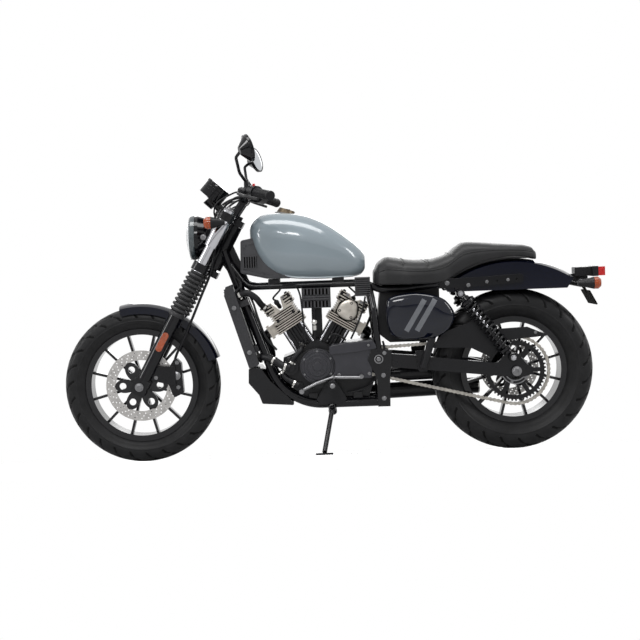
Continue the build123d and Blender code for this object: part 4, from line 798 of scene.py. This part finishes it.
HEAD, FORWARD = Vector((1204, 0, 856)), Vector((1, 0, 0))
outer = [(73, 12), (72, 17), (64, 22), (50, 26.5), (34, 29.5), (16, 31), (0, 31.5)]
inner = [(0, 28.5), (16, 28), (34, 26.5), (50, 23.5), (64, 19), (70, 14), (71, 12)]
pane = turned("headlight_glass", "glass", "steering", outer + inner, HEAD, FORWARD, 72, True, 60)
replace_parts(pane, "headlight_lens")
bm = bmesh.new()
rings = []
for r, h in ((72.5, 11), (71, 4), (60, 0), (42, -2), (24, -2.6), (20, -2.6)):
    ripple = 0.9 if 22 < r < 72 else 0
    ring = [(HEAD.x + h + ripple * (k % 2), r * cos(a), HEAD.z + r * sin(a)) for k, a in enumerate(turns(96))]
    rings.append([bm.verts.new(p) for p in ring])
skin(bm, rings)
piece("headlight_reflector", bm, "chrome", "steering", sharp=20)
hood = [(20, -2.9), (20, 2), (17, 6), (12, 14), (5, 17), (0, 17.5)]
turned("headlight_bulb_cover", "chrome", "steering", hood, HEAD, FORWARD, 32)
bm = bmesh.new()
for a in (40, 140, 270):
    y, z = polar((HEAD.y, HEAD.z), 80, radians(a))
    lathe(bm, [(3.4, 0), (3.4, 3), (2, 3.6)], (HEAD.x + 15, y, z), FORWARD, 12)
for side in (1, -1):
    bolt(bm, (1164, side * 98, HEAD.z), 9, 6, (0, side, 0))
    for t in (500, 514, 716, 730):
        lathe(bm, [(4.5, 0), (4.5, 3.5), (2.4, 3.6), (2.2, 1.5)], fork(t, side * FORK_Y, -31), FORK_BACK, 14)
    cap = fork(748, side * FORK_Y)
    lathe(bm, [(20, 0), (20, 3), (17, 6)], cap, FORK_UP, 32)
    lathe(bm, [(9, 5), (9, 12), (7, 13)], cap, FORK_UP, 6)
    bolt(bm, (WHEELBASE, side * 136, FRONT_R), 13, 10, (0, side, 0))
piece("fork_bolts", bm, "dull", "steering")

# cables that stay with the handlebar, as their points and radius
CABLES = [
    ([on_bar(193, 38, -4), on_bar(196, 62, -6),
      (1098, 150, 985), (1120, 92, 950), (1112, 42, 905), (1114, 30, 860)], 3.2),
    ([on_bar(180, 24, -16, -1), (1064, -128, 968), (1102, -74, 930), (1110, -52, 884), (1112, -34, 850)], 3.2),
    ([on_bar(186, 22, -14, -1), (1070, -120, 990), (1108, -60, 950), (1124, -22, 900), (1126, -14, 860)], 3.2),
    ([(1150, 70, 846), (1122, 66, 858), (1098, 52, 880), (1100, 30, 915), (1110, 8, 960)], 4.0),
]
for s in (1, -1):
    points = [(1030, 130 * s, 1000), (1078, 84 * s, 970), (1104, 50 * s, 930), (1106, 40 * s, 880)]
    CABLES.append(([on_bar(172, 8, -22, s)] + points, 4.2))
bm = bmesh.new()
for points, r in CABLES:
    tube(bm, smooth_path(points), r, 10)
piece("handlebar_cables", bm, "rubber", "steering", sharp=180)

# ---------------- engine
BANK_S, BANK_C = sin(radians(31)), cos(radians(31))  # each cylinder's tilt from upright


def cyl_way(side, x, y, z):
    return Vector((x * BANK_C + side * z * BANK_S, y, -side * x * BANK_S + z * BANK_C))


def cyl(side, x, y, z):
    """A point in a cylinder's frame: side 1 is the front one, and z runs up it from the crank."""
    return Vector((CRANK[0], 0, CRANK[1])) + cyl_way(side, x, y, z)


GASKETS = [(-61, -27, 258.5, 261.5), (27, 61, 258.5, 261.5), (-56, 56, 174.5, 177.5), (-56, 56, 212.2, 214.4)]
dark, light, leads, gasket = bmesh.new(), bmesh.new(), bmesh.new(), bmesh.new()
for side in (1, -1):
    at = partial(cyl, side)
    for y in (1, -1):
        for x, z in ((-52, 286), (-52, 268), (52, 286), (52, 268), (-30, 290), (30, 290)):
            bolt(dark if abs(x) > 40 else light, at(x, y * 61.5, z), 4.4, 5, (0, y, 0))
        for x in (-34, 34):
            bolt(dark, at(x, y * 66, 222), 5, 6, (0, y, 0))
    for x in (-46, 46):
        for y in (-44, 0, 44):
            bolt(dark, at(x, y, 297), 5, 5, cyl_way(side, 0, 0, 1))
    for x0, x1, z0, z1 in GASKETS:
        brick(gasket, x0, x1, -60.5, 60.5, z0, z1, at)
    # spark plug cap and lead
    a, b = at(0, side * 40, 262), at(0, side * 78, 296)
    way = (b - a).normalized()
    plug = [(6, 0), (8, 4), (8, 30), (10, 32), (10, 40), (7, 44), (5, 50), (3.6, 52)]
    lathe(leads, plug, a, way, 20)
    lead = [b, b + way * 18, (b.x - 16 * side, side * 96, b.z + 34), (b.x - 40 * side, side * 84, b.z + 58)]
    tube(leads, smooth_path(lead + [(746 + 30 * side, side * 50, 668)]), 3.6, 10)
    # exhaust flange nuts
    for y in (-32, 32):
        for z in (188, 216):
            bolt(light, at(side * 87, y, z), 5, 7, cyl_way(side, side, 0, 0))
for x, z in ((-22, 222), (28, 224), (2, 270)):
    bolt(dark, cyl(-1, x, 75, z), 6, 5)
# cover bolts, round the crank's covers and along the edges of the others
for a in turns(6, pi / 6):
    x, z = polar(CRANK, 57, a)
    bolt(light, (x, 123.5, z), 3.6, 4)
for a in turns(9, pi / 18):
    x, z = polar((730, 350), 79, a)
    bolt(light, (x, -127.5, z), 4.2, 5, -LEFT)
for x, z in ((556, 320), (556, 428), (670, 320)):
    bolt(light, (x, 139, z), 5, 4)
FRONT_EDGE = [(858, 380), (866, 334), (832, 284)]
for x, z in FRONT_EDGE + [(770, 270), (700, 270)]:
    bolt(dark, (x, 99.5, z), 5, 6)
for x, z in FRONT_EDGE + [(640, 272), (592, 310), (590, 420)]:
    bolt(dark, (x, -99.5, z), 5, 6, -LEFT)
piece("engine_dark_bolts", dark, "satin")
piece("engine_bright_bolts", light, "dull")
piece("plug_caps_leads", leads, "rubber", sharp=60)
piece("head_gaskets", gasket, "engine")

bm = bmesh.new()
for r, y in ((63, 117.6), (54, 123.8), (43, 131.8), (29, 135.8), (22, 135.8)):
    hoop(bm, r - 1.2, r + 1.2, y, y + 1.2, (CRANK[0], 0, CRANK[1]), LEFT, 72)
piece("crank_cover_rings", bm, "ring")

# hoses as their points, radius and the steps where clips sit, and leads as their points and radius
HOSES = [
    ([(972, 70, 392), (938, 96, 392), (905, 116, 376), (880, 126, 360), (856, 126, 352)], 14, (2, 14, 26)),
    ([(884, 92, 340), (872, 104, 314), (846, 112, 296), (822, 116, 284)], 11, (3, 18)),
    ([(1046, 84, 628), (1010, 92, 640), (976, 88, 620), (954, 62, 590), (928, 44, 566)], 12, (3, 26)),
    ([(852, 112, 364), (834, 116, 392), (812, 100, 418), (806, 70, 440)], 9, (3, 20)),
]
LEADS = [
    ([(818, 60, 656), (806, 104, 620), (800, 112, 560), (796, 108, 500), (792, 104, 442)], 3.4),
    ([(700, 92, 448), (690, 104, 470), (668, 108, 468), (640, 104, 448)], 4.0),
    ([(560, 88, 610), (572, 96, 560), (596, 104, 500), (620, 102, 452)], 3.6),
    ([(1046, 60, 700), (1030, 78, 668), (1052, 86, 640), (1038, 84, 606)], 5.0),
    ([(500, 112, 440), (496, 118, 400), (520, 120, 330), (560, 112, 270), (640, 104, 246)], 4.0),
    ([(1004, 62, 640), (986, 84, 600), (968, 96, 540), (942, 100, 470), (902, 104, 420)], 4.2),
    ([(700, -92, 448), (690, -104, 470), (668, -108, 468), (640, -104, 448)], 4.0),
    ([(520, -100, 600), (530, -112, 540), (560, -112, 470)], 5.0),
]
hoses, clips = bmesh.new(), bmesh.new()
for points, r, marks in HOSES:
    path = smooth_path(points)
    tube(hoses, path, r, 18)
    for m in marks:
        m = min(m, len(path) - 2)
        way = (path[m + 1] - path[m]).normalized()
        side = way.cross(LEFT).normalized()
        hoop(clips, r + 0.2, r + 1.8, -4, 4, path[m], way, 24)
        pin(clips, 3, -6, 6, path[m] + side * (r + 4), way.cross(side), 10)
for points, r in LEADS:
    tube(hoses, smooth_path(points), r, 10)
piece("engine_hoses", hoses, "rubber", sharp=180)
piece("hose_clips", clips, "bright")

# painted shade: dark bricks in the gaps between the fins and a dark plate round the rear head's cover; then
# the round cover on the rear head
FIN_T, FIN_PITCH, FIN_TOP = 4, 8.5, 251
COVER = [(-30, 262), (-38, 232), (-22, 208), (10, 204), (36, 216), (38, 250), (18, 278), (-14, 280)]
COVER_Z = 242
bm = bmesh.new()
for side in (1, -1):
    at = partial(cyl, side)
    for low, count, half in ((176, 4, 60.6), (214, 5, 51.6)):
        for i in range(count):
            z = low + FIN_PITCH * i + FIN_T
            top = min(z + FIN_PITCH - FIN_T, FIN_TOP)
            for inset, y in ((10, 60.4), (6, 57)):
                brick(bm, -half + inset, half - inset, -y, y, z, top, at)
    for z in (267, 278, 289):
        for x0, x1 in ((-58, -24), (24, 58)):
            brick(bm, x0, x1, -59.6, 59.6, z, z + 5.5, at)
# a dark plate a little larger than the cover: painted shade round its edge
plate(bm, [[(x * 1.14, COVER_Z + (z - COVER_Z) * 1.14) for x, z in COVER]], 60, 67.5, partial(cyl, -1))
piece("fin_gap_painted_shade", bm, "gap")
bm = bmesh.new()
edge = smooth_path([(x, z, 0) for x, z in COVER], 6, closed=True)
rings = []
for share, y in ((1.0, 67), (1.0, 75), (0.97, 77.5), (0.9, 79), (0.6, 80)):
    rings.append([bm.verts.new(cyl(-1, q.x * share, y, COVER_Z + (q.y - COVER_Z) * share)) for q in edge])
skin(bm, rings)
caps(bm, rings)
piece("rear_head_cover", bm, "silver", sharp=40)

# louvres of the airbox, drawn only as dark strips of painted shade between them, and of the cover under the
# tank's nose, with a dark sheet of painted shade behind them
PANEL = [(1022, 828), (1026, 718), (930, 695), (880, 693), (920, 750), (962, 838)]
PANEL_IN = [(1014, 818), (1018, 726), (934, 705), (902, 703), (932, 752), (967, 826)]
bm, dark = bmesh.new(), bmesh.new()
for side in (1, -1):
    # dark strips on the airbox: painted shade between its louvres
    for z0, z1 in ((576, 599), (624, 646)):
        for i in range(7):
            slab(dark, 702.2 + 13.4 * i, 709.2 + 13.4 * i, side, 87, 90, z0, z1)
    plate(bm, [PANEL, PANEL_IN[::-1]], *sorted((side * 75.5, side * 79)))
    for k in range(6):
        slab(bm, 968 + 9.4 * k, 972 + 9.4 * k, side, 75.5, 82, 734, 776)
    for z in (776, 730):
        slab(bm, 964, 1023, side, 75.5, 80, z, z + 4)
    # a dark sheet behind the cover's louvres: painted shade
    slab(dark, 966, 1021, side, 75.6, 76.4, 732, 778)
    for x, z in ((1012, 812), (946, 708)):
        bolt(bm, (x, side * 78.5, z), 5, 4, (0, side, 0))
piece("cover_louvres", bm, "box")
piece("louvre_painted_shade", dark, "gap")

# glossy pipes down the faces of each barrel
bm = bmesh.new()
pipe = [(6, 0), (8.5, 2), (8.5, 10), (7, 12), (7, 74), (8.5, 76), (8.5, 83), (6, 84)]
for side in (1, -1):
    for y in (56, -56):
        for x in (-13, 11):
            lathe(bm, pipe, cyl(side, x, y, 92), cyl_way(side, 0, 0, 1), 20)
piece("barrel_pipes", bm, "gloss", sharp=40)

# ribs that fan out over the bracket under the engine
bm = bmesh.new()
for k in range(6):
    c, s = cos(radians(-132 + 17 * k)), sin(radians(-132 + 17 * k))
    for y0, y1 in ((99, 107), (-107, -99)):
        brick(bm, 8, 58, y0, y1, -1.6, 1.6, lambda u, y, v: (700 + c * u - s * v, y, 268 + s * u + c * v))
piece("fan_ribs", bm, "box")

# rings and bolts round the rear hub, beside the sprocket
bm = bmesh.new()
for r in (40, 52):
    hoop(bm, r - 2, r + 2, 90, 95, (0, 0, REAR_R), LEFT, 56)
for a in turns(5):
    x, z = polar(REAR_HUB, 46, a)
    bolt(bm, (x, 93, z), 5, 5)
piece("rear_hub_rings", bm, "dull", "rear_wheel")

# the finned rectifier on the rear of the rail, and the choke rod between the cylinders
bm = bmesh.new()
brick(bm, 540, 598, 83, 92, 612, 684)
for k in range(9):
    brick(bm, 541, 597, 91, 104, 614 + 8 * k, 617.5 + 8 * k)
bmesh.ops.bevel(bm, geom=bm.edges[:], offset=0.8, segments=1, affect="EDGES")
piece("finned_rectifier", bm, "box")
rod = [(5, 0), (5, 150), (7, 152), (7, 168), (4, 170)]
turned("choke_rod", "satin", "root", rod, (756, 88, 448), (0, 0.02, 1), 18)
bm = bmesh.new()
lathe(bm, [(6, 0), (10, 3), (11, 12), (9, 18), (4, 20)], (756, 90, 520), LEFT, 24)
pin(bm, 9, -9, 9, (756, 88, 498), UP, 20)
piece("choke_knob", bm, "bright")

# ---------------- side covers
POD = [
    (486, 545), (485, 575), (478, 597), (455, 610), (420, 617), (378, 621), (335, 616), (295, 606), (262, 590),
    (240, 566), (226, 540), (226, 515), (238, 490), (256, 468), (284, 452), (318, 443), (360, 441), (402, 442),
    (440, 447), (466, 463), (480, 490), (485, 518),
]
WALL_Y, DOME_Y, DOME_RISE = 106, 126, 24


def dome(f):
    """The share of the pod's outline that is left, and how far out it lies, f of the way to the top."""
    if f < 0.25:
        return 0.985 - 0.01 * (1 - f / 0.25), WALL_Y + (DOME_Y - WALL_Y) * f / 0.25
    t = (f - 0.25) / 0.75 * pi / 2
    return 0.985 * cos(t) ** 0.42, DOME_Y + DOME_RISE * sin(t) ** 0.9


bm = bmesh.new()
outline = smooth_path([(x, z, 0) for x, z in POD], 6, closed=True)
mid_x, mid_z = sum(p.x for p in outline) / len(outline), sum(p.y for p in outline) / len(outline)
for side in (1, -1):
    rings = []
    for share, y in (dome(j / 16) for j in range(16)):
        ring = [(mid_x + (p.x - mid_x) * share, side * y, mid_z + (p.y - mid_z) * share) for p in outline]
        rings.append([bm.verts.new(p) for p in ring])
    rings.append([bm.verts.new((mid_x, side * (DOME_Y + DOME_RISE), mid_z))])
    skin(bm, rings)
    bm.faces.new(rings[0])
    slab(bm, 300, 470, side, 52, 107, 462, 598)
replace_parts(piece("side_pods", bm, "pod", sharp=60), "side_covers")

# ---------------- radiator, frame and body hardware
TILT_C, TILT_S = cos(radians(17)), sin(radians(17))


def tilted(x, y, z):
    """A point in the radiator's frame, with z up its face."""
    return 990 + x * TILT_C + z * TILT_S, y, 358 - x * TILT_S + z * TILT_C


bm = bmesh.new()
for k in range(48):
    brick(bm, 14.5, 17, -80, 80, 18 + 5.9 * k, 19.6 + 5.9 * k, tilted)
for k in range(17):
    brick(bm, 14.5, 18, -80.8 + 10 * k, -79.2 + 10 * k, 14, 306, tilted)
piece("radiator_fins", bm, "engine")

FRAME_BOLTS = [  # x, y, z and size, on both sides
    (697, 113, 296, 6), (503, 136, 225, 7), (503, 136, 312, 7), (497, 136, 396, 6), (250, 113, 650, 7),
    (170, 113, 640, 6), (100, 113, 650, 5), (20, 113, 655, 5),
]
GUARD_BOLTS = [(120, 102, 500, 5), (-80, 102, 452, 5)]  # on the left only
bm = bmesh.new()
for side in (1, -1):
    way = (0, side, 0)
    for z in (58, 236):
        bolt(bm, tilted(-1, side * 107, z), 7, 5, way)
    for x, y, z, r in FRAME_BOLTS + (GUARD_BOLTS if side > 0 else []):
        bolt(bm, (x, side * y, z), r, r * 0.8, way)
    bolt(bm, (0, side * 136, REAR_R), 15, 10, way)
    hoop(bm, 13, 17, 0, 3, (519, side * 142, 374), way, 40)
    lathe(bm, [(9, 0), (9, 5), (5, 6), (4, 3)], (519, side * 142, 374), way, 6)
    lathe(bm, [(9.5, 0), (9.5, 6), (6, 8)], (697, side * 232, 288), way, 24)
piece("frame_bolts", bm, "dull")

bm = bmesh.new()
for x, y, z in ((1282, 88, 290), (1284, 88, 384), (1364, 101, 330)):
    bolt(bm, (x, y, z), 6, 5)
lathe(bm, [(14, 0), (16, 1), (16, 3), (13, 5), (0, 5.4)], (1288, 88, 334), LEFT, 28)
piece("caliper_screws", bm, "dull", "steering")

# the tank's rolled lower seam, coloured pale as a painted highlight along its lip, from rows of x, base
# height, width and corner, and its cap's ring
TANK = [
    (990, 836, 96, 22), (962, 774, 196, 66), (905, 710, 250, 92), (810, 685, 274, 100), (710, 682, 262, 92),
    (630, 684, 222, 72), (574, 694, 158, 46),
]
bm = bmesh.new()
for side in (1, -1):
    line = [(x, side * (width / 2 - 0.62 * corner), z + 0.06 * corner + 1) for x, z, width, corner in TANK]
    tube(bm, smooth_path(line, 10), 4, 10)
piece("tank_seam_painted_highlight", bm, "seam", sharp=180)
bm = bmesh.new()
lathe(bm, [(38, 3), (44, 2), (44.5, 6), (41, 8), (38, 7)], (851, 0, 930), (-0.2, 0, 1), 48, closed=True)
lathe(bm, [(12, 19), (12, 22), (7, 23), (7, 21)], (850, 0, 932), (-0.2, 0, 1), 24)
piece("cap_ring", bm, "dull")

# silencers: end rings, and clamps at the joints
bm = bmesh.new()
for joint, way, length in (((574, -169, 221), (-146, -7, 3), 464), ((490, -169, 291), (-62, -1, 1), 300)):
    end = [(27, -3), (32.5, -5), (32.8, 1), (26, 2), (20, 1)]
    lathe(bm, [(r, length + h) for r, h in end], joint, way, 40, closed=True)
    hoop(bm, 20.5, 22.5, 2, 16, joint, way, 32)
piece("silencer_trim", bm, "bright")

# the reflector on the number plate's bracket
way = Vector((-cos(radians(28)), 0, sin(radians(28))))
lens = [(2, 0), (20, 0), (20, 4), (18, 6), (0, 6.4)]
turned("rear_reflector", "red", "root", lens, Vector((-306, 0, 575)) + way * 2.6, way, 40)


# ---------------- floor, light and camera
FLOOR_GLOW = 0.42  # light that only the camera sees


def floor_material():
    """A pale floor that the camera sees near white, with the machine's shadow kept."""
    m, tree, shader, space = blank_material("pale_floor")
    tone = node(tree, "TexNoise", {"Scale": 3}).outputs["Fac"]
    pale = ramp(tree, tone, (0.78, 0.78, 0.78), (0.8, 0.8, 0.8))
    wire(tree, shader, {"Base Color": pale, "Roughness": 0.8, "Specular IOR Level": 0.1})
    camera_ray = node(tree, "LightPath").outputs["Is Camera Ray"]
    glow = node(tree, "Emission", {"Strength": compute(tree, "MULTIPLY", camera_ray, FLOOR_GLOW)})
    lit = node(tree, "AddShader", {0: shader.outputs[0], 1: glow.outputs[0]})
    # away from the machine the floor melts into the white backdrop
    away = node(tree, "VectorMath", {0: space}, operation="LENGTH").outputs["Value"]
    fade = node(tree, "MapRange", {"Value": away, "From Min": 1.6, "From Max": 3.4}).outputs[0]
    far = compute(tree, "MULTIPLY", fade, camera_ray)
    clear = node(tree, "BsdfTransparent").outputs[0]
    blend = node(tree, "MixShader", {"Fac": far, 1: lit.outputs[0], 2: clear})
    wire(tree, tree.nodes["Material Output"], {"Surface": blend.outputs[0]})
    return m


bm = bmesh.new()
bmesh.ops.create_circle(bm, cap_ends=True, radius=7.5, segments=96)
mesh = bpy.data.meshes.new("studio_floor")
bm.to_mesh(mesh)
bm.free()
mesh.materials.append(floor_material())
floor = add_object("studio_floor", mesh)

# the world is white where it is seen directly, through glass or as a reflection, and lights softly
scene.world = bpy.data.worlds.new("studio")
scene.world.use_nodes = True
sky = scene.world.node_tree
sky.nodes.clear()
path = node(sky, "LightPath").outputs
seen = path["Is Camera Ray"]
for ray in ("Is Transmission Ray", "Is Glossy Ray"):
    seen = compute(sky, "MAXIMUM", seen, path[ray])
soft = node(sky, "Background", {"Color": (0.95, 0.97, 1, 1), "Strength": 0.16})
white = node(sky, "Background", {"Color": (1, 1, 1, 1), "Strength": 1})
mix = node(sky, "MixShader", {"Fac": seen, 1: soft.outputs[0], 2: white.outputs[0]})
node(sky, "OutputWorld", {"Surface": mix.outputs[0]})


def softbox(name, at, aim, size, power):
    light = bpy.data.lights.new(name, "AREA")
    light.shape, light.size, light.size_y, light.energy = "RECTANGLE", *size, power
    o = add_object(name, light)
    o.location = at
    o.rotation_euler = (Vector(aim) - Vector(at)).to_track_quat("-Z", "Y").to_euler()


softbox("overhead", (0.1, 1.0, 3.4), (0, 0, 0.5), (3.4, 1.1), 105)
softbox("camera_side", (0.8, 4.6, 2.4), (0, 0, 0.6), (1.8, 0.7), 85)
softbox("front_strip", (3.6, 1.2, 1.6), (0.3, 0, 0.6), (0.5, 1.8), 50)
softbox("rear_strip", (-3.4, 1.6, 1.8), (-0.4, 0, 0.6), (0.5, 1.8), 45)
softbox("far_side", (-0.2, -4.2, 2.6), (0, 0, 0.6), (3.5, 2.0), 60)

ROLL = radians(2.06)
VIEW_WIDTH = 2470  # mm across the picture, at the machine
eye, aim = Vector((734.6, 5400, 790)), Vector((734.6, 0, 522.3))
turn = PARK.to_3x3().normalized()
back = (turn @ (eye - aim)).normalized()
right = turn @ Vector((-cos(ROLL), 0, -sin(ROLL)))
right = (right - back * right.dot(back)).normalized()
lens = bpy.data.cameras.new("camera")
lens.lens, lens.sensor_width, lens.clip_end = 36 * (eye - aim).length / VIEW_WIDTH, 36, 100
scene.camera = add_object("camera", lens)
matrix = Matrix((right, back.cross(right), back)).transposed().to_4x4()
matrix.translation = PARK @ eye
scene.camera.matrix_world = matrix
scene.view_settings.view_transform = "Standard"
